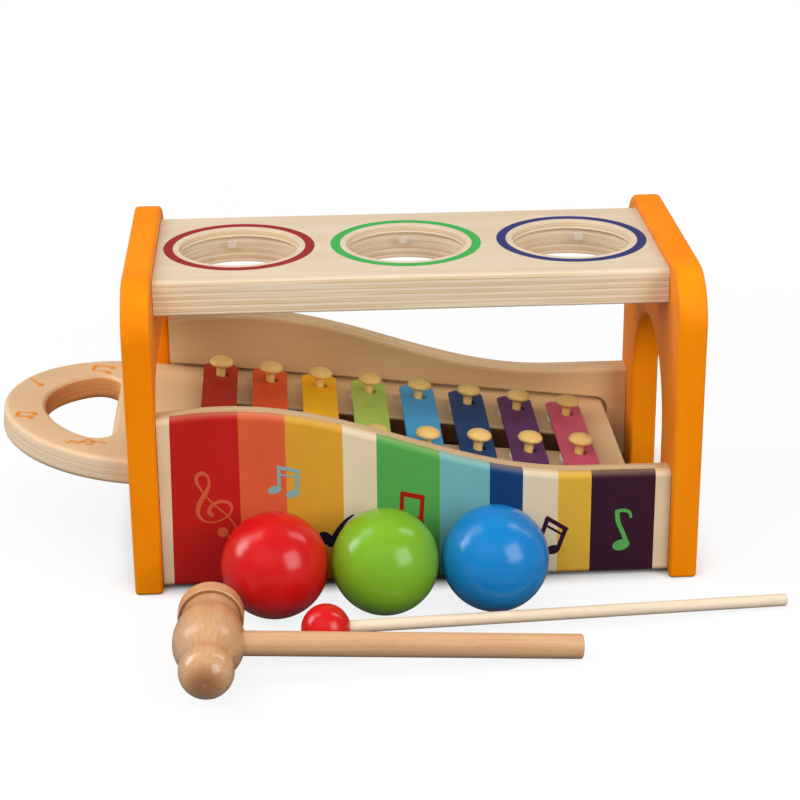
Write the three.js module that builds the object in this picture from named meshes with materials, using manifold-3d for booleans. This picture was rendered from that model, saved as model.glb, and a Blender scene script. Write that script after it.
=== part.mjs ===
// A child's pounding bench with a slide-out xylophone, and the balls, hammer and beater that go with it.
// Millimetres, +Z up. X runs along the bench, Y from its front to its back.
// The bench is laid out about the middle of its floor, and the whole set is then
// moved so that the origin is the middle of its footprint, on the floor.

import * as THREE from "three";
import { mergeVertices } from "three/addons/utils/BufferGeometryUtils.js";
import Module from "manifold-3d";

const wasm = await Module();
wasm.setup();

// Clearances
const glueGap = 0.2; // around glued and pressed joints
const restGap = 0.3; // between pieces that slide or rest on one another
const overcut = 1; // how far a cutter runs past the face that it opens

// Balls, in a row on the floor in front of the bench
const ballRadius = 23.35;
const ballGap = 1.1; // between two balls
const ballRowX = -15.3; // middle of the bench to the middle ball
const ballRowGap = 1.1; // front wall to the balls

// Pounding board
const boardThickness = 16;
const boardHeight = 137.6; // floor to top face
const boardRounding = 2;
const holeClearance = 3.85; // ball to the wall of a hole
const holeWeb = 17.6; // between the grooves of two holes
const holeEndMargin = 8.4; // groove of an outer hole to the end of the board
const holeSideMargin = 18; // groove of a hole to the board's front or back edge

// Clear grip rings, seated in a groove in each hole
const ringDepth = 4; // board's top face to the ring's top
const ringHeight = 4.6;
const ringSeat = 1.8; // how deep the ring sits in the wall of the hole
const ringLip = 1.2; // chamfer at the mouth of the ring
const ringSlit = 0.8; // gap where the ends of the strip meet
const gripSqueeze = 0.4; // how far the ring's radius is under the ball's

// Dowels between the board and the end panels
const dowelRadius = 4;
const dowelInBoard = 16;
const dowelInPanel = 7;

// End panels
const panelThickness = 12.5;
const panelRise = 4; // board's top face to the top of the panels
const panelCorner = 24;
const panelRounding = 3;
const archHalfWidth = 40; // way out for the balls, in the right panel
const archSpring = 57.6; // floor to the springing of the arch
const mouthHeight = 94.6; // way out for the tray, in the left panel
const mouthCorner = 22;
const mouthClearance = 0.8;

// Front and back walls, with a wave along the top
const wallThickness = 12;
const wallSetback = 4; // panel's edge to the wall's outer face
const wallRaise = 2; // floor to the bottom of the wall
const wallRounding = 3;
const waveStart = 82.1; // height at the left end
const waveCrest = 84.3;
const waveFoot = 51.1; // height at the right end
const crestInset = 29; // left end of the wall to the crest
const footInset = 38; // right end of the wall to the foot of the wave
const waveEase = 59; // how long the wave leaves the crest and meets the foot level
const tenonThickness = 4;
const tenonLength = 5;
const tenonMargin = 10; // tenon's ends to the wall's edges

// Tray that carries the keys
const traySlope = THREE.MathUtils.degToRad(6.66);
const trayHeight = 45.65; // floor to the tray's top face at the middle of the bench
const trayThickness = 12;
const trayRounding = 2;
const trayEndGap = 11.3; // tray's lower end to the right panel
const grooveDepth = 4;
const grooveHeadroom = 1.8; // tray's top face to the top of its groove
const handleWidth = 19;
const fingerFlat = 10.5; // centre of the handle's bow to the straight side of the finger hole
const fingerCorner = 8;
const soundMargin = 5.8; // middle of an end key to the end of the sound opening
const soundWide = 17.5; // half-widths of its two ends
const soundNarrow = 10.5;
const soundCorner = 5;

// Keys, from the longest at the left to the shortest
const firstInset = 24.2; // left panel to the middle of the first key
const lastInset = 34.9; // middle of the last key to the right panel
const keyWidth = 16.6;
const keyThickness = 2.2;
const keyBevel = 2.4;
const keyBevelDrop = 0.6;
const keyClip = 3.4; // corner cut off each end of a key
const keyOverhang = 15; // peg to the end of the key
const keySideGap = 4; // end of the longest key to the walls
const longSpan = 78; // between the two pegs of the first key
const shortSpan = 47.2; // and of the last
const keyPlay = 1.15; // peg to the edge of its hole in the key
const keyLift = 3; // how far a struck key can jump

// Pegs that hold the keys, and the felt washers under them
const pegStemRadius = 2.15;
const pegDepth = 9; // in the tray
const pegHeadRadius = 5.5;
const pegRim = 2; // height of the head's rim
const pegChamfer = 1;
const pegDome = 3.2;
const pegSpare = 0.4; // left between a key at its highest and the head
const washerRadius = 8;
const washerThickness = 2.6;

// Beater, lying on the floor in front of the balls
const beaterX = -42.2; // middle of the bench to the beater's ball
const beaterGap = 1.75; // front of the balls to the beater's ball
const beaterYaw = THREE.MathUtils.degToRad(7.48);
const beaterRadius = 10.4;
const beaterStickRadius = 2.7;
const beaterStickReach = 203.4; // ball's centre to the end of the stick
const beaterStickSeat = 9; // depth of the stick's hole in the ball
const stickChamfer = 0.8;

// Hammer, lying on the floor with its handle along the front of the beater's ball
const hammerGap = 1.1; // beater's ball to the handle
const hammerYaw = THREE.MathUtils.degToRad(1.45);
const headTurn = THREE.MathUtils.degToRad(-2.2); // how far the head is from square to its handle
const capGap = 1.2; // rim of the cap to the first ball, seen from above
const headBulge = 15; // radius at the handle
const headKnob = 11.4; // radius of the knob in front
const waistCut = 0.8; // how much slimmer the waist is than the knob
const headFront = 36.5; // handle to the tip of the knob
const headBack = 31.5; // handle to the face of the cap
const headCap = 14; // radius of the cap
const capStep = 1.8; // how far the cap stands out from the neck
const capLength = 9.5;
const capRounding = 2.5;
const capChamfer = 0.5;
const hammerStickRadius = 5.25;
const hammerStickReach = 155.3; // head's axis to the end of the handle
const hammerStickSeat = 5; // how far the handle goes past the head's axis

// Facets of round pieces. An outline's arcs have twice as many steps as its other curves.
const holeSides = 32;
const turnedSides = 20;
const smallSides = 10;
const keyHoleSides = 12;
const ballColumns = 18;
const ballRows = 12;
const cornerSteps = 5;
const bowSteps = 8;
const waveSteps = 12;
const shoulderSteps = 4; // straight steps from the wave's crest to the left end
const domeSteps = 3;
const knobSteps = 6;
const bodySteps = 4;

// Finishes: colours, and how rough each surface is
const plyColor = "#dcc19a";
const orangeColor = "#ef7d10";
const clearColor = "#e8e6e0";
const pegColor = "#ddbb66";
const feltColor = "#ecebe6";
const hammerColor = "#cf9c6c";
const handleColor = "#d3a878";
const beaterStickColor = "#e3cba6";
const ballColors = { red: "#d81e20", green: "#7fbd35", blue: "#1c86cc" };
const keyColors = ["#b3252b", "#d9512b", "#e6ab25", "#7fb33f", "#3d9fd0", "#17407c", "#552a76", "#c2427c"];
const clearRough = 0.15;
const glossRough = 0.25;
const enamelRough = 0.35;
const satinRough = 0.45;
const sandedRough = 0.6;
const feltRough = 0.95;
const enamelMetal = 0.5;

// Sizes that follow
const holeRadius = ballRadius + holeClearance;
const grooveRadius = holeRadius + ringSeat;
const holePitch = 2 * grooveRadius + holeWeb;
const bayEnd = holePitch + grooveRadius + holeEndMargin; // middle of the bench to an end panel
const boardHalf = grooveRadius + holeSideMargin; // half the board's depth
const wallInner = longSpan / 2 + keyOverhang + keySideGap; // middle of the bench to a wall's inner face
const wallOuter = wallInner + wallThickness;
const panelHalf = wallOuter + wallSetback; // half the panels' depth
const panelHeight = boardHeight + panelRise;
const dowelY = (grooveRadius + boardHalf) / 2;
const dowelZ = boardHeight - boardThickness / 2;
const trayHalf = wallInner + grooveDepth - restGap;
const trayReach = bayEnd - trayEndGap; // middle of the bench to the tray's lower end
const handleReach = bayEnd + panelThickness; // middle of the bench to the centre of the handle's bow
const mouthHalf = trayHalf + mouthClearance;
const tenonY = (mouthHalf + wallOuter) / 2;
const tenonBottom = wallRaise + tenonMargin;
const firstKey = firstInset - bayEnd;
const lastKey = bayEnd - lastInset;
const soundStart = soundMargin - firstKey; // middle of the bench to the sound opening's upper end
const soundEnd = lastKey + soundMargin; // middle of the bench to its lower end
const keyBottom = restGap + washerThickness + restGap;
const keyHoleRadius = pegStemRadius + keyPlay;
const pegHeadBottom = keyBottom + keyThickness + keyLift + pegSpare;
const washerBore = pegStemRadius + restGap;
const ballPitch = 2 * ballRadius + ballGap;
const ballRowY = wallSetback - panelHalf - ballRowGap - ballRadius;
const beaterY = ballRowY - ballRadius - beaterGap - beaterRadius;
const headWaist = headKnob - waistCut;
const headNeck = headCap - capStep;
const handleY = beaterY - (beaterRadius + hammerGap + hammerStickRadius) / Math.cos(hammerYaw);
const capToBalls = ballRowY - handleY - headBack; // cap's face to the middles of the balls
const besideBall = Math.sqrt(Math.max(0, (ballRadius + capGap) ** 2 - capToBalls ** 2));
const hammerX = ballRowX - ballPitch - besideBall - headCap + headBack * Math.sin(hammerYaw + headTurn);
const hammerY = handleY - (beaterX - hammerX) * Math.tan(hammerYaw);

function finish(color, roughness, metalness = 0) {
  return new THREE.MeshStandardMaterial({ color, roughness, metalness });
}

// A geometry as a solid that can be cut and joined, and back.
function solidOf(geometry) {
  const bare = geometry.clone();
  bare.deleteAttribute("normal");
  bare.deleteAttribute("uv");
  const merged = mergeVertices(bare);
  const vertProperties = merged.attributes.position.array;
  const triVerts = new Uint32Array(merged.index.array);
  return new wasm.Manifold(new wasm.Mesh({ numProp: 3, vertProperties, triVerts }));
}
function geometryOf(solid) {
  const mesh = solid.getMesh();
  const geometry = new THREE.BufferGeometry();
  geometry.setAttribute("position", new THREE.BufferAttribute(mesh.vertProperties, 3));
  geometry.setIndex(new THREE.BufferAttribute(mesh.triVerts, 1));
  geometry.computeVertexNormals();
  return geometry;
}
function cut(geometry, cutters) {
  const left = cutters.reduce((solid, cutter) => solid.subtract(solidOf(cutter)), solidOf(geometry));
  return geometryOf(left);
}
function join(geometry, others) {
  const whole = others.reduce((solid, other) => solid.add(solidOf(other)), solidOf(geometry));
  return geometryOf(whole);
}

// A board sawn to an outline, its edges rounded over, from z = 0 to its thickness.
function sawnBoard(shape, thickness, rounding, curveSegments, bevelSegments) {
  const geometry = new THREE.ExtrudeGeometry(shape, {
    depth: thickness - 2 * rounding,
    bevelThickness: rounding,
    bevelSize: rounding,
    bevelOffset: -rounding,
    bevelSegments,
    curveSegments,
  });
  return geometry.translate(0, 0, rounding);
}

// A block given by its lowest and highest corners.
function block(low, high) {
  const size = high.map((value, axis) => value - low[axis]);
  const middle = high.map((value, axis) => (value + low[axis]) / 2);
  return new THREE.BoxGeometry(...size).translate(...middle);
}

// A piece turned about +Z from a profile of [radius, height] pairs.
function turned(profile, sides) {
  const points = profile.map(([radius, height]) => new THREE.Vector2(radius, height));
  return new THREE.LatheGeometry(points, sides).rotateX(Math.PI / 2);
}

// A round bar or bore, upright or along +X, from one end to the other.
function uprightBar(radius, low, high, sides) {
  return turned([[0, low], [radius, low], [radius, high], [0, high]], sides);
}
function levelBar(radius, start, end) {
  return uprightBar(radius, start, end, smallSides).rotateY(Math.PI / 2);
}

function piece(name, geometry, material) {
  const mesh = new THREE.Mesh(geometry, material);
  mesh.name = name;
  return mesh;
}

// Pounding board: three holes, each with a groove for its grip ring, and dowel bores in the ends.
const holeCentres = { left: -holePitch, centre: 0, right: holePitch };
const ends = { left: -1, right: 1 };
const sides = { front: -1, back: 1 };

function poundingBoard() {
  const halfLength = bayEnd - glueGap;
  const outline = new THREE.Shape();
  outline.moveTo(-halfLength, -boardHalf);
  outline.lineTo(halfLength, -boardHalf);
  outline.lineTo(halfLength, boardHalf);
  outline.lineTo(-halfLength, boardHalf);
  outline.closePath();
  const cutters = [];
  for (const x of Object.values(holeCentres)) {
    outline.holes.push(new THREE.Path().absarc(x, 0, holeRadius, 0, 2 * Math.PI));
    const low = boardHeight - ringDepth - ringHeight - glueGap;
    const high = boardHeight - ringDepth + glueGap;
    const inside = holeRadius - ringSeat;
    const profile = [[inside, low], [grooveRadius, low], [grooveRadius, high], [inside, high], [inside, low]];
    cutters.push(turned(profile, holeSides).translate(x, 0, 0));
  }
  for (const end of Object.values(ends)) {
    for (const side of Object.values(sides)) {
      const bore = levelBar(dowelRadius + glueGap, bayEnd - dowelInBoard - glueGap, bayEnd);
      cutters.push(bore.rotateZ(end < 0 ? Math.PI : 0).translate(0, side * dowelY, dowelZ));
    }
  }
  const board = sawnBoard(outline, boardThickness, boardRounding, holeSides / 2, 1);
  return cut(board.translate(0, 0, boardHeight - boardThickness), cutters);
}

// Grip ring: a clear strip bent round, its ends nearly meeting at the back of the hole.
function gripRing(x) {
  const inner = ballRadius - gripSqueeze;
  const outer = grooveRadius - glueGap;
  const high = boardHeight - ringDepth;
  const low = high - ringHeight;
  const profile = [
    [inner, low + ringLip],
    [inner + ringLip, low],
    [outer, low],
    [outer, high],
    [inner + ringLip, high],
    [inner, high - ringLip],
    [inner, low + ringLip],
  ];
  const slit = block([-ringSlit / 2, 0, low - overcut], [ringSlit / 2, outer + overcut, high + overcut]);
  return cut(turned(profile, holeSides), [slit]).translate(x, 0, 0);
}

function dowel(end, side) {
  const bar = levelBar(dowelRadius, bayEnd - dowelInBoard, bayEnd + dowelInPanel);
  return bar.rotateZ(end < 0 ? Math.PI : 0).translate(0, side * dowelY, dowelZ);
}

// End panels: the right one stands on two feet round an arch, the left one round the tray's mouth.
function archOutline(outline) {
  outline.lineTo(-archHalfWidth, 0);
  outline.lineTo(-archHalfWidth, archSpring);
  outline.absarc(0, archSpring, archHalfWidth, Math.PI, 0, true);
  outline.lineTo(archHalfWidth, 0);
}
function mouthOutline(outline) {
  const cornerY = mouthHalf - mouthCorner;
  const cornerZ = mouthHeight - mouthCorner;
  outline.lineTo(-mouthHalf, 0);
  outline.lineTo(-mouthHalf, cornerZ);
  outline.absarc(-cornerY, cornerZ, mouthCorner, Math.PI, Math.PI / 2, true);
  outline.absarc(cornerY, cornerZ, mouthCorner, Math.PI / 2, 0, true);
  outline.lineTo(mouthHalf, 0);
}
function endPanel(end, opening, endHeight) {
  const cornerY = panelHalf - panelCorner;
  const cornerZ = panelHeight - panelCorner;
  const outline = new THREE.Shape();
  outline.moveTo(-panelHalf, 0);
  opening(outline);
  outline.lineTo(panelHalf, 0);
  outline.absarc(cornerY, cornerZ, panelCorner, 0, Math.PI / 2);
  outline.absarc(-cornerY, cornerZ, panelCorner, Math.PI / 2, Math.PI);
  outline.closePath();
  const board = sawnBoard(outline, panelThickness, panelRounding, cornerSteps, 2);
  const alongX = new THREE.Matrix4().makeBasis(
    new THREE.Vector3(0, 1, 0),
    new THREE.Vector3(0, 0, 1),
    new THREE.Vector3(1, 0, 0),
  );
  board.applyMatrix4(alongX).translate(end < 0 ? -bayEnd - panelThickness : bayEnd, 0, 0);

  // Bores for the board's dowels, and mortises for the walls' tenons, from the inner face.
  const cutters = [];
  const inside = end * (bayEnd - overcut);
  const depth = end * (bayEnd + tenonLength + glueGap);
  const across = tenonThickness / 2 + glueGap;
  for (const side of Object.values(sides)) {
    const bore = levelBar(dowelRadius + glueGap, bayEnd - overcut, bayEnd + dowelInPanel + glueGap);
    cutters.push(bore.rotateZ(end < 0 ? Math.PI : 0).translate(0, side * dowelY, dowelZ));
    const low = [Math.min(inside, depth), side * tenonY - across, tenonBottom - glueGap];
    const high = [Math.max(inside, depth), side * tenonY + across, endHeight - tenonMargin + glueGap];
    cutters.push(block(low, high));
  }
  return cut(board, cutters);
}

// Walls: a wave sawn along the top, a stub tenon at each end, and the tray's groove in the inner face.
function wallOutline() {
  const end = bayEnd - glueGap;
  const crest = crestInset - bayEnd;
  const foot = bayEnd - footInset;
  const outline = new THREE.Shape();
  outline.moveTo(-end, wallRaise);
  outline.lineTo(end, wallRaise);
  outline.lineTo(end, waveFoot);
  outline.lineTo(foot, waveFoot);
  outline.bezierCurveTo(foot - waveEase, waveFoot, crest + waveEase, waveCrest, crest, waveCrest);
  for (let step = 1; step <= shoulderSteps; step += 1) {
    const share = step / shoulderSteps;
    outline.lineTo(crest - share * (crest + end), waveCrest - share ** 2 * (waveCrest - waveStart));
  }
  outline.closePath();
  return outline;
}
function trayGroove() {
  const radius = (trayThickness + restGap + grooveHeadroom) / 2;
  const middle = grooveHeadroom - radius;
  const roundReach = Math.sqrt(radius ** 2 - (radius - restGap) ** 2); // at the tray's underside
  const stop = trayReach - trayRounding - roundReach + restGap;
  const outline = new THREE.Shape();
  outline.moveTo(-2 * bayEnd, middle - radius);
  outline.lineTo(stop, middle - radius);
  outline.absarc(stop, middle, radius, -Math.PI / 2, Math.PI / 2);
  outline.lineTo(-2 * bayEnd, middle + radius);
  outline.closePath();
  return new THREE.ExtrudeGeometry(outline, {
    depth: grooveDepth + overcut,
    bevelEnabled: false,
    curveSegments: cornerSteps,
  });
}
function wall(side) {
  const alongY = new THREE.Matrix4().makeBasis(
    new THREE.Vector3(1, 0, 0),
    new THREE.Vector3(0, 0, 1),
    new THREE.Vector3(0, -1, 0),
  );
  const board = sawnBoard(wallOutline(), wallThickness, wallRounding, waveSteps, 2).applyMatrix4(alongY);
  board.translate(0, side < 0 ? -wallInner : wallOuter, 0);
  const tenons = Object.values(ends).map((end) => {
    const top = (end < 0 ? waveStart : waveFoot) - tenonMargin;
    const root = end * (bayEnd - tenonLength);
    const tip = end * (bayEnd + tenonLength);
    const middle = side * tenonY;
    const low = [Math.min(root, tip), middle - tenonThickness / 2, tenonBottom];
    const high = [Math.max(root, tip), middle + tenonThickness / 2, top];
    return block(low, high);
  });
  const groove = trayGroove().applyMatrix4(alongY);
  groove.translate(0, side < 0 ? overcut - wallInner : wallInner + grooveDepth, 0);
  groove.rotateY(traySlope).translate(0, 0, trayHeight);
  return cut(join(board, tenons), [groove]);
}

// Tray: a ply board with a bow handle at its upper end, a sound opening under the keys and peg holes.
function fingerHole() {
  const radius = trayHalf - handleWidth;
  const flat = -handleReach - fingerFlat;
  const cornerX = flat - fingerCorner;
  const cornerY = Math.sqrt((radius - fingerCorner) ** 2 - (fingerFlat + fingerCorner) ** 2);
  const meet = Math.atan2(cornerY, -fingerFlat - fingerCorner);
  const hole = new THREE.Path();
  hole.moveTo(flat, -cornerY);
  hole.absarc(cornerX, cornerY, fingerCorner, 0, meet);
  hole.absarc(-handleReach, 0, radius, meet, 2 * Math.PI - meet);
  hole.absarc(cornerX, -cornerY, fingerCorner, -meet, 0);
  hole.closePath();
  return hole;
}
function soundOpening() {
  const lean = (soundWide - soundNarrow) / (soundStart + soundEnd);
  const wide = soundWide - lean * soundCorner;
  const narrow = soundNarrow + lean * soundCorner;
  const opening = new THREE.Path();
  opening.moveTo(-soundStart, soundCorner - soundWide);
  opening.quadraticCurveTo(-soundStart, -soundWide, soundCorner - soundStart, -wide);
  opening.lineTo(soundEnd - soundCorner, -narrow);
  opening.quadraticCurveTo(soundEnd, -soundNarrow, soundEnd, soundCorner - soundNarrow);
  opening.lineTo(soundEnd, soundNarrow - soundCorner);
  opening.quadraticCurveTo(soundEnd, soundNarrow, soundEnd - soundCorner, narrow);
  opening.lineTo(soundCorner - soundStart, wide);
  opening.quadraticCurveTo(-soundStart, soundWide, -soundStart, soundWide - soundCorner);
  opening.closePath();
  return opening;
}
const keys = keyColors.map((color, index) => {
  const share = index / (keyColors.length - 1);
  const x = firstKey + share * (lastKey - firstKey);
  const span = longSpan + share * (shortSpan - longSpan);
  return { number: index + 1, x, pegY: span / 2, color };
});
const rows = { far: 1, near: -1 };

function tray() {
  const outline = new THREE.Shape();
  outline.moveTo(trayReach, -trayHalf);
  outline.lineTo(trayReach, trayHalf);
  outline.absarc(-handleReach, 0, trayHalf, Math.PI / 2, 1.5 * Math.PI);
  outline.closePath();
  outline.holes.push(fingerHole(), soundOpening());
  const board = sawnBoard(outline, trayThickness, trayRounding, bowSteps, 1).translate(0, 0, -trayThickness);
  const holes = keys.flatMap(({ x, pegY }) =>
    Object.values(rows).map((row) => {
      const hole = uprightBar(pegStemRadius + restGap, -pegDepth - restGap, overcut, smallSides);
      return hole.translate(x, row * pegY, 0);
    }),
  );
  return cut(board, holes);
}

// Keys: a metal bar with bevelled edges, clipped corners and a loose hole for each peg.
function key({ x, pegY }) {
  const halfWidth = keyWidth / 2;
  const halfLength = pegY + keyOverhang;
  const outline = new THREE.Shape();
  outline.moveTo(-halfWidth, keyClip - halfLength);
  outline.lineTo(keyClip - halfWidth, -halfLength);
  outline.lineTo(halfWidth - keyClip, -halfLength);
  outline.lineTo(halfWidth, keyClip - halfLength);
  outline.lineTo(halfWidth, halfLength - keyClip);
  outline.lineTo(halfWidth - keyClip, halfLength);
  outline.lineTo(keyClip - halfWidth, halfLength);
  outline.lineTo(-halfWidth, halfLength - keyClip);
  outline.closePath();
  const bar = new THREE.ExtrudeGeometry(outline, {
    depth: keyThickness - 2 * keyBevelDrop,
    bevelThickness: keyBevelDrop,
    bevelSize: keyBevel,
    bevelOffset: -keyBevel,
    bevelSegments: 1,
  });
  bar.translate(0, 0, keyBevelDrop);
  const holes = Object.values(rows).map((row) => {
    const hole = uprightBar(keyHoleRadius, -overcut, keyThickness + overcut, keyHoleSides);
    return hole.translate(0, row * pegY, 0);
  });
  return cut(bar, holes).translate(x, 0, keyBottom);
}

// Pegs: a plastic pin with a domed head.
function peg() {
  const rimTop = pegHeadBottom + pegRim;
  const dome = new THREE.EllipseCurve(0, rimTop, pegHeadRadius, pegDome, 0, Math.PI / 2);
  const profile = [
    [0, -pegDepth],
    [pegStemRadius, -pegDepth],
    [pegStemRadius, pegHeadBottom],
    [pegHeadRadius - pegChamfer, pegHeadBottom],
    [pegHeadRadius, pegHeadBottom + pegChamfer],
    ...dome.getPoints(domeSteps).map(({ x, y }) => [x, y]),
  ];
  profile.at(-1)[0] = 0;
  return turned(profile, smallSides);
}

// Felt washers, one round each peg under its key.
function washer() {
  const low = restGap;
  const high = restGap + washerThickness;
  const profile = [
    [washerBore, low],
    [washerRadius, low],
    [washerRadius, high],
    [washerBore, high],
    [washerBore, low],
  ];
  return turned(profile, smallSides);
}

// Balls: turned wood, standing on their poles.
function ball(radius) {
  return new THREE.SphereGeometry(radius, ballColumns, ballRows).rotateX(Math.PI / 2);
}

// Hammer head: turned along Y, with a knob in front, a bulge at the handle and a cap behind.
function hammerHead() {
  const knobCentre = headKnob - headFront;
  const knobSweep = Math.acos(headWaist / headKnob); // past the knob's widest, where the waist begins
  const waistY = knobCentre + headKnob * Math.sin(knobSweep);
  const capStart = headBack - capLength;
  const knob = new THREE.EllipseCurve(0, knobCentre, headKnob, headKnob, -Math.PI / 2, knobSweep);
  const front = new THREE.CubicBezierCurve(
    new THREE.Vector2(headWaist, waistY),
    new THREE.Vector2(headWaist, waistY / 2),
    new THREE.Vector2(headBulge, waistY / 2),
    new THREE.Vector2(headBulge, 0),
  );
  const back = new THREE.CubicBezierCurve(
    new THREE.Vector2(headBulge, 0),
    new THREE.Vector2(headBulge, capStart / 2),
    new THREE.Vector2(headNeck, capStart / 2),
    new THREE.Vector2(headNeck, capStart),
  );
  const profile = [
    ...knob.getPoints(knobSteps),
    ...front.getPoints(bodySteps).slice(1),
    ...back.getPoints(bodySteps).slice(1),
    new THREE.Vector2(headCap - capChamfer, capStart),
    new THREE.Vector2(headCap, capStart + capChamfer),
    new THREE.Vector2(headCap, headBack - capRounding),
    new THREE.Vector2(headCap - capRounding, headBack),
    new THREE.Vector2(0, headBack),
  ];
  profile[0].x = 0;
  const head = new THREE.LatheGeometry(profile, turnedSides).rotateZ(headTurn);
  const seat = levelBar(hammerStickRadius + glueGap, -hammerStickSeat - glueGap, headBulge + overcut);
  return cut(head, [seat]);
}

// A turned stick along +X, its outer end chamfered.
function stick(radius, start, end) {
  const profile = [
    [0, start],
    [radius, start],
    [radius, end - stickChamfer],
    [radius - stickChamfer, end],
    [0, end],
  ];
  return turned(profile, smallSides).rotateY(Math.PI / 2);
}

// Beater head: a small ball, bored for its stick.
function beaterHead() {
  const seatEnd = beaterRadius - beaterStickSeat - glueGap;
  const seat = levelBar(beaterStickRadius + glueGap, seatEnd, beaterRadius + overcut);
  return cut(ball(beaterRadius), [seat]);
}

// Assembly
const bench = new THREE.Group();
bench.add(piece("bench_top", poundingBoard(), finish(plyColor, sandedRough)));
for (const [where, x] of Object.entries(holeCentres)) {
  bench.add(piece(`grip_ring_${where}`, gripRing(x), finish(clearColor, clearRough)));
}
bench.add(piece("left_end_panel", endPanel(-1, mouthOutline, waveStart), finish(orangeColor, satinRough)));
bench.add(piece("right_end_panel", endPanel(1, archOutline, waveFoot), finish(orangeColor, satinRough)));
for (const [where, side] of Object.entries(sides)) {
  bench.add(piece(`${where}_wall`, wall(side), finish(plyColor, sandedRough)));
  for (const [which, end] of Object.entries(ends)) {
    bench.add(piece(`dowel_${which}_${where}`, dowel(end, side), finish(plyColor, sandedRough)));
  }
}

const xylophone = new THREE.Group();
xylophone.add(piece("xylophone_tray", tray(), finish(plyColor, sandedRough)));
for (const bar of keys) {
  xylophone.add(piece(`key_${bar.number}`, key(bar), finish(bar.color, enamelRough, enamelMetal)));
  for (const [row, side] of Object.entries(rows)) {
    const pin = piece(`peg_${row}_${bar.number}`, peg(), finish(pegColor, satinRough));
    const felt = piece(`washer_${row}_${bar.number}`, washer(), finish(feltColor, feltRough));
    pin.position.set(bar.x, side * bar.pegY, 0);
    felt.position.copy(pin.position);
    xylophone.add(pin, felt);
  }
}
xylophone.rotation.y = traySlope;
xylophone.position.z = trayHeight;

const balls = new THREE.Group();
Object.entries(ballColors).forEach(([color, paint], index, all) => {
  const sphere = piece(`${color}_ball`, ball(ballRadius), finish(paint, glossRough));
  const place = index - (all.length - 1) / 2;
  sphere.position.set(ballRowX + place * ballPitch, ballRowY, ballRadius);
  balls.add(sphere);
});

// The hammer and the beater lie on their heads and on the ends of their sticks.
const hammer = new THREE.Group();
const hammerStick = stick(hammerStickRadius, -hammerStickSeat, hammerStickReach);
hammer.add(piece("hammer_head", hammerHead(), finish(hammerColor, enamelRough)));
hammer.add(piece("hammer_handle", hammerStick, finish(handleColor, satinRough)));
hammer.position.set(hammerX, hammerY, headBulge + restGap);
hammer.rotation.order = "ZYX";
hammer.rotation.y = Math.asin((headBulge - hammerStickRadius) / hammerStickReach);
hammer.rotation.x = -Math.atan2(headBulge - headCap, headBack - capRounding); // until the cap rests
hammer.rotation.z = hammerYaw;

const beater = new THREE.Group();
const beaterStick = stick(beaterStickRadius, beaterRadius - beaterStickSeat, beaterStickReach);
beater.add(piece("beater_head", beaterHead(), finish(ballColors.red, glossRough)));
beater.add(piece("beater_stick", beaterStick, finish(beaterStickColor, sandedRough)));
beater.position.set(beaterX, beaterY, beaterRadius + restGap);
beater.rotation.order = "ZYX";
beater.rotation.y = Math.asin((beaterRadius - beaterStickRadius) / beaterStickReach);
beater.rotation.z = beaterYaw;

const set = new THREE.Group();
set.add(bench, xylophone, balls, hammer, beater);
set.updateMatrixWorld(true);
const footprint = new THREE.Box3().setFromObject(set, true).getCenter(new THREE.Vector3());
set.position.set(-footprint.x, -footprint.y, 0);

export default set;
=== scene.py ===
# %% [markdown]
# # A pounding bench with a slide-out xylophone
# The toy is a small bench of birch ply. Balls are hammered through three holes in its top board, drop
# onto a sloping tray of metal keys and roll out at the end. The tray also slides out to be played by
# itself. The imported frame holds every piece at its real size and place. Here each piece is modelled again
# with the smooth curves, rounded edges and finishes that the eye sees, and rides on the body that moves
# it.

# %% The frame
import math

import bmesh
import bpy
import numpy as np
from mathutils import Matrix, Vector


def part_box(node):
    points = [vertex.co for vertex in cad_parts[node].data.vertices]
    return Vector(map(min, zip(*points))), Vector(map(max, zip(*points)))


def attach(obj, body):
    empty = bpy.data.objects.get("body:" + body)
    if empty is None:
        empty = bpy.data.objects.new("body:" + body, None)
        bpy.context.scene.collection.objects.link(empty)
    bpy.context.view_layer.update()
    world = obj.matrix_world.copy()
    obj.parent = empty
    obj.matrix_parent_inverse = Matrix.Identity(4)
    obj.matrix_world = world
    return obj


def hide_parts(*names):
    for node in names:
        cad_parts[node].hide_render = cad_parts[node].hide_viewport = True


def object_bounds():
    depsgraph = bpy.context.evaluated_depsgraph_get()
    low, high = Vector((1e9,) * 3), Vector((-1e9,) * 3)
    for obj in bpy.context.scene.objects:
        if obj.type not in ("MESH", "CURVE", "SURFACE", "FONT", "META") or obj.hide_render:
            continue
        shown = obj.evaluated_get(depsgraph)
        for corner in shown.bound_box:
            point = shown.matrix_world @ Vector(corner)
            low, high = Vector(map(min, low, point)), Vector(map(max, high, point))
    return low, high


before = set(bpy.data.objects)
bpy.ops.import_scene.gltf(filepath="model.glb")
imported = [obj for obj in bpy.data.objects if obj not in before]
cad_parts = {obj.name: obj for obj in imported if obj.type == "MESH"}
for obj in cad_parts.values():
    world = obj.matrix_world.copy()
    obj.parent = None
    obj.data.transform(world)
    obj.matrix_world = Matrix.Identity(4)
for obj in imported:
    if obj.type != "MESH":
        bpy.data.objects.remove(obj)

MM = 0.001  # sizes are written in millimetres, and Blender works in metres
cad_low, cad_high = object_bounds()
board_low, board_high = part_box("bench_top")
bench_middle = Vector(((board_low.x + board_high.x) / 2, (board_low.y + board_high.y) / 2, 0))
print("CAD box in mm:", [round(size / MM, 1) for size in cad_high - cad_low])
print("middle of the bench in mm:", [round(value / MM, 2) for value in bench_middle])

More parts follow.
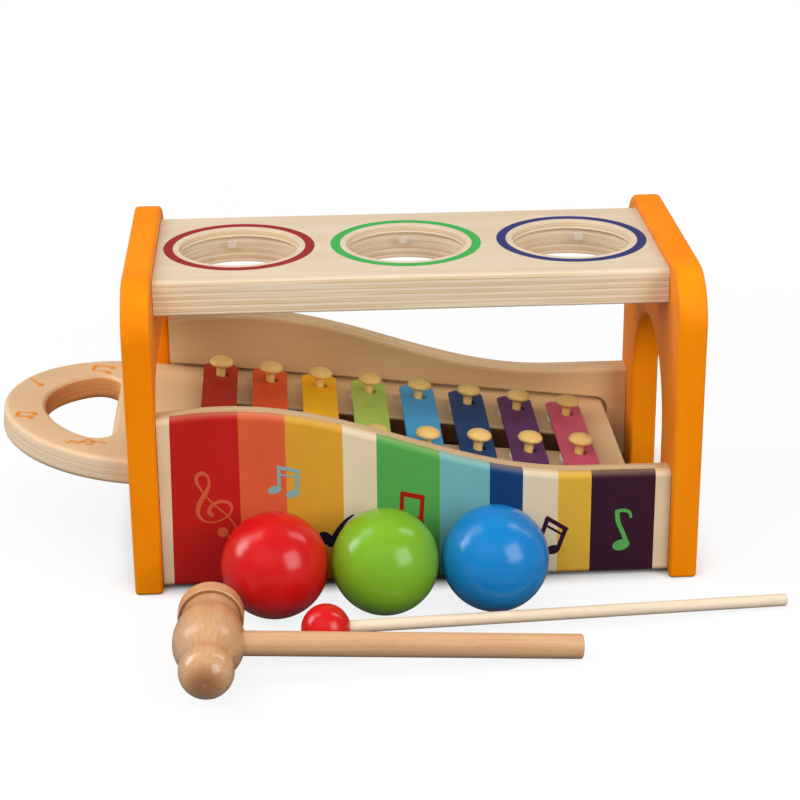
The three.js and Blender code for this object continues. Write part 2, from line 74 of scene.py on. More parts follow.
# %% [markdown]
# ## Camera
# The photograph looks down at the bench by about 22 degrees, from a little to its left and about a metre
# away. A camera could be placed by eye, but a pose worked out from the board's corners and its three
# holes lines every piece up with the photograph, so that pose is written here as a place and three
# angles.

# %% Camera
photo_px = 800
focal_px = 2139.6
sensor_mm = 36
camera_from_bench = Vector((-53.8, -927.0, 434.9)) * MM
camera_yaw = 0.0545
camera_pitch = 0.3834
camera_roll = -0.0083

forward = Vector((
    math.sin(camera_yaw) * math.cos(camera_pitch),
    math.cos(camera_yaw) * math.cos(camera_pitch),
    -math.sin(camera_pitch),
))
right = forward.cross(Vector((0, 0, 1))).normalized()
up = right.cross(forward)
rolled_right = math.cos(camera_roll) * right + math.sin(camera_roll) * up
rolled_up = math.cos(camera_roll) * up - math.sin(camera_roll) * right

bpy.ops.object.select_all(action="DESELECT")
bpy.ops.object.camera_add(location=bench_middle + camera_from_bench)
camera = bpy.context.active_object
camera.name = "photo_camera"
camera.rotation_euler = Matrix((rolled_right, rolled_up, -forward)).transposed().to_euler()
camera.data.sensor_width = sensor_mm
camera.data.lens = sensor_mm * focal_px / photo_px
bpy.context.scene.camera = camera
print("lens in mm:", round(camera.data.lens, 1))

# %% [markdown]
# ## Bench tools
# Most pieces of the toy are either sawn from a board or turned on a lathe, so two helpers follow those
# crafts. A sawn board starts as a filled circle whose points are moved onto the outline, and is then
# extruded to its thickness. A turned piece starts as one point that is extruded along the profile, and is
# then spun. Cutters make the holes, and a bevel modifier rounds the edges over as a router would.

# %% Starting and finishing a piece
sharp_angle = 35  # degrees between two faces that stay sharp when a piece is shaded


def started(name, primitive, **settings):
    """A new primitive, with nothing else selected."""
    bpy.ops.object.select_all(action="DESELECT")
    primitive(**settings)
    piece = bpy.context.active_object
    piece.name = name
    return piece


def only(piece):
    """Makes one piece the selected and active object."""
    bpy.ops.object.select_all(action="DESELECT")
    piece.select_set(True)
    bpy.context.view_layer.objects.active = piece


def settle(piece, matrix=Matrix.Identity(4)):
    """Moves a piece to its place and puts that place into its mesh."""
    only(piece)
    piece.matrix_world = matrix @ piece.matrix_world
    bpy.ops.object.transform_apply(location=True, rotation=True, scale=True)
    return piece


def copied(piece, name, matrix):
    """A copy of a piece with a mesh of its own, moved to its place."""
    twin = piece.copy()
    twin.data = piece.data.copy()
    twin.name = name
    bpy.context.scene.collection.objects.link(twin)
    return settle(twin, matrix)


def block(name, low, high):
    """A cube stretched from its lowest to its highest corner."""
    piece = started(name, bpy.ops.mesh.primitive_cube_add, size=1, location=(low + high) / 2)
    piece.scale = high - low
    return settle(piece)


def laid_along(start, line):
    """A matrix that lays a piece made about +Z along a line, from its start."""
    return Matrix.Translation(start) @ line.to_track_quat("Z", "Y").to_matrix().to_4x4()


def bar(name, start, end, radius, sides):
    """A round bar from one point to another."""
    line = end - start
    piece = started(
        name, bpy.ops.mesh.primitive_cylinder_add, vertices=sides, radius=radius, depth=line.length)
    return settle(piece, laid_along((start + end) / 2, line))


def closed(piece):
    """Turns the faces of a new shape outwards and leaves edit mode."""
    bpy.ops.mesh.select_all(action="SELECT")
    bpy.ops.mesh.normals_make_consistent(inside=False)
    bpy.ops.object.mode_set(mode="OBJECT")
    return piece


def sawn(name, outline, thickness):
    """A board sawn to an outline in X and Y, from z = 0 to its thickness."""
    piece = started(name, bpy.ops.mesh.primitive_circle_add, vertices=len(outline), fill_type="NGON")
    bpy.ops.object.mode_set(mode="EDIT")
    mesh = bmesh.from_edit_mesh(piece.data)
    for vertex, (x, y) in zip(mesh.verts, outline):
        vertex.co = (x, y, 0)
    bmesh.update_edit_mesh(piece.data)
    bpy.ops.mesh.select_all(action="SELECT")
    bpy.ops.mesh.extrude_region_move(TRANSFORM_OT_translate={"value": (0, 0, thickness)})
    return closed(piece)


def turned(name, profile, steps, sweep=2 * math.pi):
    """A piece turned about +Z from a profile of [radius, height] pairs."""
    piece = started(name, bpy.ops.mesh.primitive_plane_add, size=MM)
    bpy.ops.object.mode_set(mode="EDIT")
    bpy.ops.mesh.merge(type="CENTER")
    radius, height = profile[0]
    bpy.ops.transform.translate(value=(radius, 0, height))
    for next_radius, next_height in profile[1:]:
        step = (next_radius - radius, 0, next_height - height)
        bpy.ops.mesh.extrude_vertices_move(TRANSFORM_OT_translate={"value": step})
        radius, height = next_radius, next_height
    bpy.ops.mesh.select_all(action="SELECT")
    bpy.ops.mesh.spin(steps=steps, angle=sweep, center=(0, 0, 0), axis=(0, 0, 1))
    bpy.ops.mesh.select_all(action="SELECT")
    bpy.ops.mesh.remove_doubles(threshold=0.001 * MM)
    bpy.ops.mesh.fill_holes(sides=len(profile))
    return closed(piece)


def machined(piece, kind, **settings):
    """Gives a piece a modifier with its settings and applies it."""
    only(piece)
    modifier = piece.modifiers.new(kind.lower(), kind)
    for name, value in settings.items():
        setattr(modifier, name, value)
    bpy.ops.object.modifier_apply(modifier=modifier.name)
    return piece


def carve(piece, *cutters, operation="DIFFERENCE"):
    """Cuts the cutters out of a piece, or joins them to it, one after another."""
    for cutter in cutters:
        machined(piece, "BOOLEAN", object=cutter, operation=operation, solver="EXACT")
        bpy.data.objects.remove(cutter)
    return piece


def ease(piece, width, steps, angle=40):
    """Rounds over every edge that is sharper than an angle in degrees."""
    limit = math.radians(angle)
    return machined(piece, "BEVEL", width=width, segments=steps, limit_method="ANGLE", angle_limit=limit)


def trim_ends(piece, left, right):
    """Saws a piece square at both ends, with two blocks that reach metres past it."""
    wide, tall = Vector((0, 2, 2)), Vector((2, 2, 2))
    first, last = Vector((left, 0, 0)), Vector((right, 0, 0))
    saws = block("left saw", first - tall, first + wide), block("right saw", last - wide, last + tall)
    return carve(piece, *saws)


def hand_over(piece, body, slot, material, *nodes):
    """Shades a finished piece, gives it its material and sets it on the body that moves it."""
    only(piece)
    bpy.ops.object.shade_smooth_by_angle(angle=math.radians(sharp_angle))
    machined(piece, "WEIGHTED_NORMAL", keep_sharp=True)
    piece.data.materials.clear()
    piece.data.materials.append(material)
    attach(piece, body)
    if nodes:
        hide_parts(*nodes)
    print(piece.name, "on", body, "with", len(piece.data.polygons), "faces")


# %% Outlines
def arc(centre, radius, start, end, steps):
    """Points along an arc, its angles in degrees."""
    angles = [math.radians(start + (end - start) * step / steps) for step in range(steps + 1)]
    return [(centre[0] + radius * math.cos(a), centre[1] + radius * math.sin(a)) for a in angles]


def sweep_curve(first, leave, arrive, last, steps):
    """Points along a Bezier curve from one point to another, with its two handles."""
    points = []
    for step in range(steps + 1):
        t = step / steps
        weights = ((1 - t) ** 3, 3 * t * (1 - t) ** 2, 3 * t * t * (1 - t), t ** 3)
        parts = list(zip(weights, (first, leave, arrive, last)))
        points.append((sum(w * p[0] for w, p in parts), sum(w * p[1] for w, p in parts)))
    return points


def scaled(points):
    """Points in millimetres turned to metres."""
    return [(x * MM, y * MM) for x, y in points]


# %% [markdown]
# ## Finishes
# The bench is clear-lacquered birch ply, with orange paint on the end panels and stripes on the front
# wall. The balls are painted, the keys enamelled and the hammer is lacquered beech. Photographs could be
# wrapped round the pieces, but a procedural material has no seams. Each one reads the piece's own
# coordinates, so a pattern keeps its real size in millimetres and stays with the piece when it moves.

# %% Colours and nodes
MIX_A, MIX_B = 6, 7  # the two colours that a mix node takes


def srgb(code):
    """The linear colour of an sRGB hex code."""
    channels = [int(code[place:place + 2], 16) / 255 for place in (1, 3, 5)]
    return [c / 12.92 if c <= 0.04045 else ((c + 0.055) / 1.055) ** 2.4 for c in channels] + [1]


def feed(tree, node, inputs):
    """Gives a node's inputs their values, or links from sockets or from what other nodes make."""
    for name, value in inputs.items():
        if isinstance(value, bpy.types.Node):
            value = next(output for output in value.outputs if output.enabled)
        if isinstance(value, bpy.types.NodeSocket):
            tree.links.new(value, node.inputs[name])
        else:
            node.inputs[name].default_value = value


def add(tree, kind, inputs=None, stops=None, **settings):
    """Adds a shader node with its settings, its inputs and any colour stops."""
    made = tree.nodes.new("ShaderNode" + kind)
    for name, value in settings.items():
        setattr(made, name, value)
    feed(tree, made, inputs or {})
    for index, (position, colour) in enumerate(stops or []):
        ramp = made.color_ramp.elements
        stop = ramp[index] if index < len(ramp) else ramp.new(position)
        stop.position = position
        stop.color = colour
    return made


def new_material(name):
    """A material, its node tree, its shader and the coordinates of the piece."""
    material = bpy.data.materials.new(name)
    material.use_nodes = True
    tree = material.node_tree
    return material, tree, tree.nodes["Principled BSDF"], add(tree, "TexCoord")


def worked(tree, operation, *values):
    """What a math node makes of its values."""
    return add(tree, "Math", dict(enumerate(values)), operation=operation)


def vectored(tree, operation, *values):
    """What a vector math node makes of its values."""
    return add(tree, "VectorMath", dict(enumerate(values)), operation=operation)


def ranged(tree, value, start, end, low=0, high=1, **settings):
    """A value carried over from one range to another, and kept inside it."""
    return add(tree, "MapRange", {
        "Value": value, "From Min": start, "From Max": end, "To Min": low, "To Max": high}, **settings)


def mixed(tree, share, first, second, **settings):
    """A colour mixed from two, by the share of the second."""
    return add(tree, "Mix", {0: share, MIX_A: first, MIX_B: second}, data_type="RGBA", **settings)


def noise(tree, place, size, detail, roughness=0.5):
    """A cloudy pattern with lumps of about a given size."""
    return add(tree, "TexNoise", {
        "Vector": place, "Scale": 1 / size, "Detail": detail, "Roughness": roughness})


def raised(tree, height, strength, depth):
    """The slight relief that a pattern of heights gives a surface."""
    return add(tree, "Bump", {"Height": height, "Strength": strength, "Distance": depth})


def shaded(tree, colour, pattern, low, high, spread=(0.3, 0.7)):
    """A colour that a pattern darkens and lightens, from a low share of itself to a high one."""
    shade = ranged(tree, pattern, spread[0], spread[1], low, high)
    return mixed(tree, 1.0, colour, shade, blend_type="MULTIPLY")


def clouded(tree, place, colour, size, detail, low, high):
    """A colour shaded by soft clouds of a given size, and the clouds."""
    clouds = noise(tree, place, size, detail)
    return shaded(tree, colour, clouds, low, high), clouds


print("colours are written as sRGB and turned to linear")

# %% [markdown]
# ### Birch ply
# Birch ply is peeled veneers glued crosswise, sanded and sealed with a thin clear lacquer. Its faces show
# pale streaks and short pores, and its sawn edges show the layers. One pattern over all sides would hide
# that it is a board, so the way a surface faces chooses between a face pattern and an edge pattern.

# %% Birch ply
cloud_long, cloud_wide = 120 * MM, 14 * MM  # a broad paler or darker area of veneer
grain_long, grain_wide = 60 * MM, 1.3 * MM  # a streak of grain
pore_long, pore_wide = 7 * MM, 0.4 * MM
ply_pair = 2.9 * MM  # one long-grain and one cross-grain layer
ply_wander, wander_size = 0.3 * MM, 30 * MM  # how far and over what length a layer strays
sanding_long, sanding_wide = 90 * MM, 1.8 * MM  # a place where sanding has smoothed the layers over
fibre_long, fibre_wide = 40 * MM, 0.45 * MM
face_low, face_high = 0.6, 0.85  # cosines between which a sawn edge turns into a face


def board_space(tree, coordinates, grain, thickness):
    """The place in a board: X along its grain, Z through its thickness."""
    turn = Matrix((grain, thickness.cross(grain), thickness)).to_euler()
    return add(tree, "Mapping", {"Vector": coordinates.outputs["Object"], "Rotation": turn})


def streaks(tree, place, long, wide, detail, sheet=False):
    """Noise drawn out along the grain to streaks of a given length and width, or to thin sheets."""
    across = long if sheet else wide
    drawn = vectored(tree, "MULTIPLY", place, (1 / long, 1 / across, 1 / wide))
    return noise(tree, drawn, 1, detail, 0.58)


def veneer(tree, place, pale, dark):
    """Colour and height of a peeled birch face: broad soft clouds, fine streaks and short pores."""
    clouds = streaks(tree, place, cloud_long, cloud_wide, 2)
    lines = streaks(tree, place, grain_long, grain_wide, 4)
    pores = streaks(tree, place, pore_long, pore_wide, 2)
    both = worked(tree, "ADD", clouds, lines)
    share = ranged(tree, both, 0.75, 1.2)
    tone = mixed(tree, share, srgb(dark), srgb(pale))
    return shaded(tree, tone, pores, 0.93, 1, spread=(0.3, 0.45)), pores


def ply_edge(tree, place, pale, dark, glue):
    """Colour of a sawn and sanded edge: soft layers of long and cross grain with faint glue lines."""
    wander = noise(tree, place, wander_size, 3, 0.55)
    shift = worked(tree, "MULTIPLY_ADD", wander, 2 * ply_wander, -ply_wander)
    split = add(tree, "SeparateXYZ", {0: place})
    depth = worked(tree, "ADD", split.outputs["Z"], shift)
    layer = worked(tree, "DIVIDE", depth, ply_pair)
    share = worked(tree, "FRACT", layer)
    layers = add(tree, "ValToRGB", {"Fac": share}, stops=[
        (0.0, srgb(glue)), (0.09, srgb(pale)), (0.48, srgb(pale)),
        (0.56, srgb(glue)), (0.66, srgb(dark)), (0.94, srgb(dark))])
    sanding = streaks(tree, place, sanding_long, sanding_wide, 2, sheet=True)
    hidden = ranged(tree, sanding, 0.5, 0.68)
    bare = mixed(tree, hidden, layers, srgb(pale))
    fibres = streaks(tree, place, fibre_long, fibre_wide, 3, sheet=True)
    return shaded(tree, bare, fibres, 0.88, 1.06)


def facing(tree, coordinates, axis, low, high):
    """How far a surface faces along an axis, from 0 at the low cosine to 1 at the high one."""
    along = vectored(tree, "DOT_PRODUCT", coordinates.outputs["Normal"], axis)
    return ranged(tree, along, low, high)


def ply_colour(tree, coordinates, place, thickness, face, edge):
    """Colour and height of a ply board: veneer on its faces and layers on its sawn edges."""
    veneered, pores = veneer(tree, place, *face)
    layered = ply_edge(tree, place, *edge)
    upper = facing(tree, coordinates, thickness, face_low, face_high)
    lower = facing(tree, coordinates, -thickness, face_low, face_high)
    on_face = worked(tree, "MAXIMUM", upper, lower)
    colour = mixed(tree, on_face, layered, veneered)
    return colour, pores


def lacquer(tree, shader, colour, height, depth=0.04 * MM, roughness=0.52, shine=0.12):
    """A thin satin lacquer over wood: a broad soft shine, with the pores still to be felt."""
    relief = raised(tree, height, 0.5, depth)
    feed(tree, shader, {
        "Base Color": colour, "Normal": relief, "Roughness": roughness, "Specular IOR Level": shine})


def lacquered_ply(name, grain, thickness, face, edge):
    """Clear-lacquered birch ply: warm satin faces, and faint layers wherever it was sawn."""
    material, tree, shader, coordinates = new_material(name)
    place = board_space(tree, coordinates, grain, thickness)
    colour, pores = ply_colour(tree, coordinates, place, thickness, face, edge)
    lacquer(tree, shader, colour, pores)
    return material


ALONG, ACROSS, UPWARD = Vector((1, 0, 0)), Vector((0, 1, 0)), Vector((0, 0, 1))
pale_face, pale_edge = ("#e2cfb6", "#dac3a4"), ("#eedcbf", "#e3caa4", "#c8a678")
# the walls' and tray's warmer ply is partly the wood's own tone and partly painted orange bounce light from
# the panels
warm_bounce_face, warm_bounce_edge = ("#dfbd8f", "#dab485"), ("#e5c9a0", "#dcbb8c", "#cda674")
wall_ply = lacquered_ply("lacquered_birch_ply_wall", ALONG, ACROSS, warm_bounce_face, warm_bounce_edge)
dowel_ply = lacquered_ply("bare_birch_dowel", ALONG, UPWARD, pale_face, pale_edge)
print("ply pair in mm:", round(ply_pair / MM, 2))

# %% [markdown]
# ### Orange paint
# The end panels are sprayed with satin paint that hides the ply's layers but not quite its grain. A flat
# colour would look like plastic, so soft clouds vary its tone, and grain and spray dimples raise its
# surface.

# %% Orange paint
def painted_panel(name):
    """Satin orange paint over sanded ply: an even colour with a trace of the veneer's grain beneath."""
    material, tree, shader, coordinates = new_material(name)
    place = board_space(tree, coordinates, UPWARD, ALONG)
    clouds = streaks(tree, place, 60 * MM, 25 * MM, 3)
    paint = add(
        tree, "ValToRGB", {"Fac": clouds},
        stops=[(0.35, srgb("#f98805")), (0.65, srgb("#ff940a"))])
    peel = noise(tree, coordinates.outputs["Object"], 1.2 * MM, 2)
    grain = streaks(tree, place, 18 * MM, 0.7 * MM, 3)
    height = worked(tree, "MULTIPLY_ADD", grain, 0.7, peel)
    relief = raised(tree, height, 0.3, 0.04 * MM)
    feed(tree, shader, {
        "Base Color": paint, "Normal": relief, "Roughness": 0.42, "Specular IOR Level": 0.1})
    return material


orange_paint = painted_panel("satin_orange_paint")
print("panels painted all over")

# %% [markdown]
# ### Painted rings
# A ring of paint is printed round each hole, in its ball's colour. It could be a ring of its own, but
# paint has hardly any thickness, so the board's finish colours its top between two distances from a
# hole's centre.

# %% Ringed board
holes = {}
for where in ("left", "centre", "right"):
    low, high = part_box(f"grip_ring_{where}")
    holes[where] = ((low + high) / 2).xy.to_3d()
ring_inner, ring_outer = 29.9 * MM, 34.2 * MM
ring_fuzz = 0.1 * MM  # soft edge of the paint
top_low, top_high = 0.93, 0.97  # cosines between which a rounded rim turns into the flat top
ring_paints = {"left": "#9b2d30", "centre": "#45ad55", "right": "#393c72"}


def ringed_board(name):
    """The pounding board's ply, with a ring of paint printed round each hole."""
    material, tree, shader, coordinates = new_material(name)
    place = board_space(tree, coordinates, ALONG, UPWARD)
    colour, pores = ply_colour(tree, coordinates, place, UPWARD, pale_face, pale_edge)
    on_top = facing(tree, coordinates, UPWARD, top_low, top_high)
    level = vectored(tree, "MULTIPLY", coordinates.outputs["Object"], (1, 1, 0))
    for where, centre in holes.items():
        reach = vectored(tree, "DISTANCE", level, centre)
        past = ranged(tree, reach, ring_inner - ring_fuzz, ring_inner + ring_fuzz)
        before = ranged(tree, reach, ring_outer + ring_fuzz, ring_outer - ring_fuzz)
        band = worked(tree, "MULTIPLY", past, before)
        inked = worked(tree, "MULTIPLY", band, on_top)
        tone = srgb(ring_paints[where])
        colour = mixed(tree, inked, colour, tone)
    lacquer(tree, shader, colour, pores)
    return material


board_ply = ringed_board("lacquered_birch_ply_board")
print("painted rings at", {where: round(centre.x / MM, 1) for where, centre in holes.items()})

# %% [markdown]
# ### Stripes and ink
# The front wall is printed with upright stripes, and some of them carry notes in another ink. Stripes
# could be cut as faces, but a colour ramp with hard steps places them to a fraction of a millimetre. Over
# the rounded top, where the bare ply begins, some of that ply is mixed into the paint as a painted sheen.

# %% Striped wall and ink
stripe_ends = (-107.3, -77.6, -57.4, -32.7, -18.2, 9.4, 32.0, 46.5, 61.8, 77.2, 106.0)  # mm from the middle
stripe_lean = 1.6 * MM  # how far the first stripe leans outward at its foot
lean_from = -70 * MM  # where the lean begins, from the middle
paint_reach, paint_fray = 3 * MM, 0.3 * MM  # how far the paint comes over the top, and its soft edge
paint_ragged = 1.6 * MM
# painted sheen: bare ply is mixed into the paint over the rounded top to lighten it
sheen_from, sheen_to = 0.3, 0.97  # cosines between which the rounded top turns into the front
sheen_cover = 0.74  # share of the paint left where the painted sheen is strongest
stripe_paints = (
    "#e6cfab", "#bd201d", "#da6038", "#d9a033", "#e6d3b3", "#56a650",
    "#75b3b3", "#153f70", "#e6d3b3", "#e0b03e", "#371829", "#e2c9a3",
)


def striped_wall(name):
    """Upright stripes of satin paint on the front, a painted sheen over the round top, and bare ply behind.
    """
    material, tree, shader, coordinates = new_material(name)
    place = board_space(tree, coordinates, ALONG, ACROSS)
    bare, pores = ply_colour(tree, coordinates, place, ACROSS, warm_bounce_face, warm_bounce_edge)
    low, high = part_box("front_wall")
    length = high.x - low.x
    split = add(tree, "SeparateXYZ", {0: coordinates.outputs["Object"]})
    share = ranged(tree, split.outputs["X"], low.x, high.x)
    at_end = ranged(tree, split.outputs["X"], bench_middle.x + lean_from, low.x)
    downward = ranged(tree, split.outputs["Z"], high.z, low.z, high=stripe_lean / length)
    lean = worked(tree, "MULTIPLY_ADD", at_end, downward, share)
    starts = [low.x] + [bench_middle.x + end * MM for end in stripe_ends]
    stops = [((x - low.x) / length, srgb(paint)) for x, paint in zip(starts, stripe_paints)]
    stripes = add(tree, "ValToRGB", {"Fac": lean}, stops=stops)
    stripes.color_ramp.interpolation = "CONSTANT"
    paint, _ = clouded(tree, place, stripes, 25 * MM, 4, 0.95, 1.04)
    ragged = streaks(tree, place, 9 * MM, 0.8 * MM, 3)
    edge = worked(tree, "MULTIPLY_ADD", ragged, -paint_ragged, split.outputs["Y"])
    reach = low.y + paint_reach
    in_front = ranged(tree, edge, reach + paint_fray, reach - paint_fray)
    # painted sheen: the paint gets lighter towards the top of the rounding
    toward_front = facing(tree, coordinates, -ACROSS, sheen_from, sheen_to)
    under_sheen = ranged(tree, toward_front, 0, 1, sheen_cover, 1)
    painted = worked(tree, "MULTIPLY", in_front, under_sheen)
    colour = mixed(tree, painted, bare, paint)
    lacquer(tree, shader, colour, pores, 0.03 * MM, shine=0.15)
    return material


def printed_ink(name, code):
    """Screen-printed ink: an even matt colour, a little thinner where the screen left less of it."""
    material, tree, shader, coordinates = new_material(name)
    colour, _ = clouded(tree, coordinates.outputs["Object"], srgb(code), 2.5 * MM, 3, 0.93, 1.05)
    feed(tree, shader, {"Base Color": colour, "Roughness": 0.5, "Specular IOR Level": 0.15})
    return material


wall_stripes = striped_wall("satin_striped_paint")
print(len(stripe_paints), "stripes")

# %% [markdown]
# ### Gloss paint and enamel
# The balls are dipped in gloss paint, and the keys are stoved with enamel. Both are even colours that get
# their look from their shine, so roughness and relief matter most: sharper lights on the balls, broader
# ones on the keys, each broken a little by the grain or the dimples beneath.

# %% Gloss paint and enamel
def gloss_paint(name, code):
    """Gloss paint on turned wood: a deep even colour, soft lights and a trace of the grain beneath."""
    material, tree, shader, coordinates = new_material(name)
    spot = coordinates.outputs["Object"]
    colour, _ = clouded(tree, spot, srgb(code), 12 * MM, 3, 0.95, 1.04)
    grain = streaks(tree, spot, 6 * MM, 0.9 * MM, 3)
    haze = ranged(tree, grain, 0.3, 0.7, 0.21, 0.23)
    relief = raised(tree, grain, 0.03, 0.02 * MM)
    feed(tree, shader, {
        "Base Color": colour, "Roughness": haze, "Normal": relief, "Specular IOR Level": 0.4})
    return material


def enamel(name, code):
    """Stoved enamel on a metal bar: a semi-gloss skin with the faint dimples of sprayed paint."""
    material, tree, shader, coordinates = new_material(name)
    spot = coordinates.outputs["Object"]
    colour, _ = clouded(tree, spot, srgb(code), 9 * MM, 3, 0.94, 1.04)
    peel = noise(tree, spot, 0.7 * MM, 2)
    relief = raised(tree, peel, 0.3, 0.02 * MM)
    feed(tree, shader, {
        "Base Color": colour, "Normal": relief, "Roughness": 0.35, "Specular IOR Level": 0.16})
    return material


ball_codes = {"red": "#d01518", "green": "#7ab026", "blue": "#1080c8"}
ball_paints = {colour: gloss_paint(f"gloss_paint_{colour}", code) for colour, code in ball_codes.items()}
key_codes = {
    "red": "#a8241a", "coral": "#dc5022", "amber": "#f4b212", "green": "#a9c556",
    "sky": "#45a2d4", "navy": "#1d3f70", "purple": "#5f3060", "pink": "#d05871",
}
key_enamels = {colour: enamel(f"enamel_{colour}", code) for colour, code in key_codes.items()}
print(len(ball_paints) + len(key_enamels), "paints")

# %% [markdown]
# ### Plastic and felt
# The pegs are moulded plastic that lets a little light in, so subsurface scattering softens them. The
# grip strips are clear and the wood has to show through. Glass could do that, but a low alpha does it
# with less noise. Felt has no shine, only fibres.

# %% Plastic and felt
def moulded_plastic(name, code):
    """Moulded plastic that lets a little light in, so that its thin rim glows."""
    material, tree, shader, coordinates = new_material(name)
    colour, flow = clouded(tree, coordinates.outputs["Object"], srgb(code), 3 * MM, 2, 0.95, 1.04)
    relief = raised(tree, flow, 0.2, 0.05 * MM)
    feed(tree, shader, {
        "Base Color": colour, "Normal": relief, "Roughness": 0.3,
        "Subsurface Weight": 0.25, "Subsurface Scale": 2 * MM})
    return material


def clear_strip(name, code, milk):
    """Clear soft plastic strip: the wood shows through a pale haze, and drawn lines catch the light."""
    material, tree, shader, coordinates = new_material(name)
    drawn = streaks(tree, coordinates.outputs["Object"], 8 * MM, 0.8 * MM, 2)
    blur = ranged(tree, drawn, 0.3, 0.7, 0.12, 0.28)
    relief = raised(tree, drawn, 0.3, 0.05 * MM)
    feed(tree, shader, {
        "Base Color": srgb(code), "Roughness": blur, "Normal": relief,
        "Alpha": milk, "Specular IOR Level": 0.25})
    return material


def pressed_felt(name):
    """White felt, greyed by painted shade: no shine at all, and a matted surface of short fibres."""
    material, tree, shader, coordinates = new_material(name)
    fibres = noise(tree, coordinates.outputs["Object"], 0.5 * MM, 4, 0.7)
    # painted shade: the white felt's tones are greyed, as it lies in shade under the keys
    tone = add(tree, "ValToRGB", {"Fac": fibres}, stops=[(0.3, srgb("#c4c0b6")), (0.6, srgb("#dedbd2"))])
    relief = raised(tree, fibres, 0.8, 0.2 * MM)
    feed(tree, shader, {"Base Color": tone, "Normal": relief, "Roughness": 0.95, "Sheen Weight": 0.3})
    return material


peg_plastic = moulded_plastic("moulded_plastic_yellow", "#ebc776")
clear_plastic = clear_strip("clear_soft_plastic", "#f0e4cc", 0.12)
welded_plastic = clear_strip("welded_soft_plastic", "#ece0d2", 0.5)
white_felt = pressed_felt("pressed_white_felt")
print("plastic pegs and strips, felt washers")

# %% [markdown]
# ### Beech
# Beech has a warm even grain with short dark flecks, and its end grain soaks up lacquer and darkens. The
# veneer pattern serves for its grain, since both are wood, and flecks, dark ends and a coat are added.

# %% Beech and pale wood
def turned_beech(name, grain, pale, dark, fleck, coat):
    """Lacquered beech: short darker flecks in a warm grain, and dark end grain that soaks up lacquer."""
    material, tree, shader, coordinates = new_material(name)
    place = board_space(tree, coordinates, grain, grain.orthogonal().normalized())
    base, pores = veneer(tree, place, pale, dark)
    flecks = streaks(tree, place, 3 * MM, 0.5 * MM, 1)
    spots = ranged(tree, flecks, 0.64, 0.76, high=0.3)
    flecked = mixed(tree, spots, base, srgb(fleck))
    along = vectored(tree, "DOT_PRODUCT", coordinates.outputs["Normal"], grain)
    end_on = worked(tree, "ABSOLUTE", along)
    soaked = ranged(tree, end_on, 0.7, 1.0, high=0.9)
    colour = mixed(tree, soaked, flecked, srgb(fleck))
    lacquer(tree, shader, colour, pores, 0.02 * MM, roughness=0.38, shine=0.28)
    feed(tree, shader, {"Coat Weight": coat, "Coat Roughness": 0.17})
    return material


print("beech is mixed where the hammer's lines are known")

# %% [markdown]
# ## Pounding board
# The board is a length of thick ply with three holes. Each hole is bored right through and grooved half
# way down for its grip ring. The board's section, round above and crisper below, is sawn and drawn out to
# the length. Round bars bore the holes, their rims are rounded, and the grooves are cut last, so that
# their corners stay square.

# %% Pounding board
hole_radius = 27.2 * MM
hole_sides = 128
top_rounding, foot_rounding = 2.6, 1.2
rim_rounding = 2 * MM
ring_seat = 0.2 * MM  # play round a grip ring
spare = 8 * MM  # extra length, sawn off after the edges are rounded

# a turn from lying flat to facing along X
upright = Matrix(((0, 0, 1, 0), (1, 0, 0, 0), (0, 1, 0, 0), (0, 0, 0, 1)))
half = (board_high.y - board_low.y) / 2 / MM
foot_y, foot_z = half - foot_rounding, board_low.z / MM + foot_rounding
top_y, top_z = half - top_rounding, board_high.z / MM - top_rounding
section = arc((-foot_y, foot_z), foot_rounding, 180, 270, 4)
section += arc((foot_y, foot_z), foot_rounding, 270, 360, 4)
section += arc((top_y, top_z), top_rounding, 0, 90, 6)
section += arc((-top_y, top_z), top_rounding, 90, 180, 6)
board = sawn("pounding_board", scaled(section), board_high.x - board_low.x + 2 * spare)
settle(board, Matrix.Translation((board_low.x - spare, bench_middle.y, 0)) @ upright)
below, above = UPWARD * (board_low.z - MM), UPWARD * (board_high.z + MM)
for centre in holes.values():
    carve(board, bar("bore", centre + below, centre + above, hole_radius, hole_sides))
ease(board, rim_rounding, steps=4)
trim_ends(board, board_low.x, board_high.x)
for where, centre in holes.items():
    low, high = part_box(f"grip_ring_{where}")
    groove_radius = (high.x - low.x) / 2 + ring_seat
    start, end = centre + UPWARD * (low.z - ring_seat), centre + UPWARD * (high.z + ring_seat)
    carve(board, bar("groove", start, end, groove_radius, hole_sides))
hand_over(board, "bench", "board_ply", board_ply, "bench_top")

# %% [markdown]
# ## Grip rings
# A strip of clear soft plastic is bent round in each groove and holds a ball until it is struck. Its ends
# nearly meet at the back of the hole, where a milky tab is welded over them. The strip's section is
# turned through not quite a full circle, which leaves the gap, and the tab's section through a few
# degrees.

# %% Grip rings
strip_lip = 1.2 * MM
strip_gap = 0.8 * MM
strip_squeeze = 0.4 * MM  # how far a ring's radius is under a ball's
strip_joints = {"left": 99, "centre": 90, "right": 74}  # where the ends meet, in degrees from +X
strip_steps = 96
weld_width = 4 * MM
weld_proud, weld_inset, weld_rounding = 0.15 * MM, 0.7 * MM, 0.1 * MM
weld_steps = 8

ball_low, ball_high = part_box("red_ball")
ball_radius = (ball_high.x - ball_low.x) / 2
inner = ball_radius - strip_squeeze
bend, shoulder = inner + strip_lip / 3, inner + strip_lip
gap_angle, weld_angle = strip_gap / inner, weld_width / inner


def bent_round(name, section, steps, sweep, centre, start):
    """A section turned part of the way round a hole, from a starting angle."""
    strip = turned(name, section + section[:1], steps, sweep)
    return settle(strip, Matrix.Translation(centre) @ Matrix.Rotation(start, 4, "Z"))


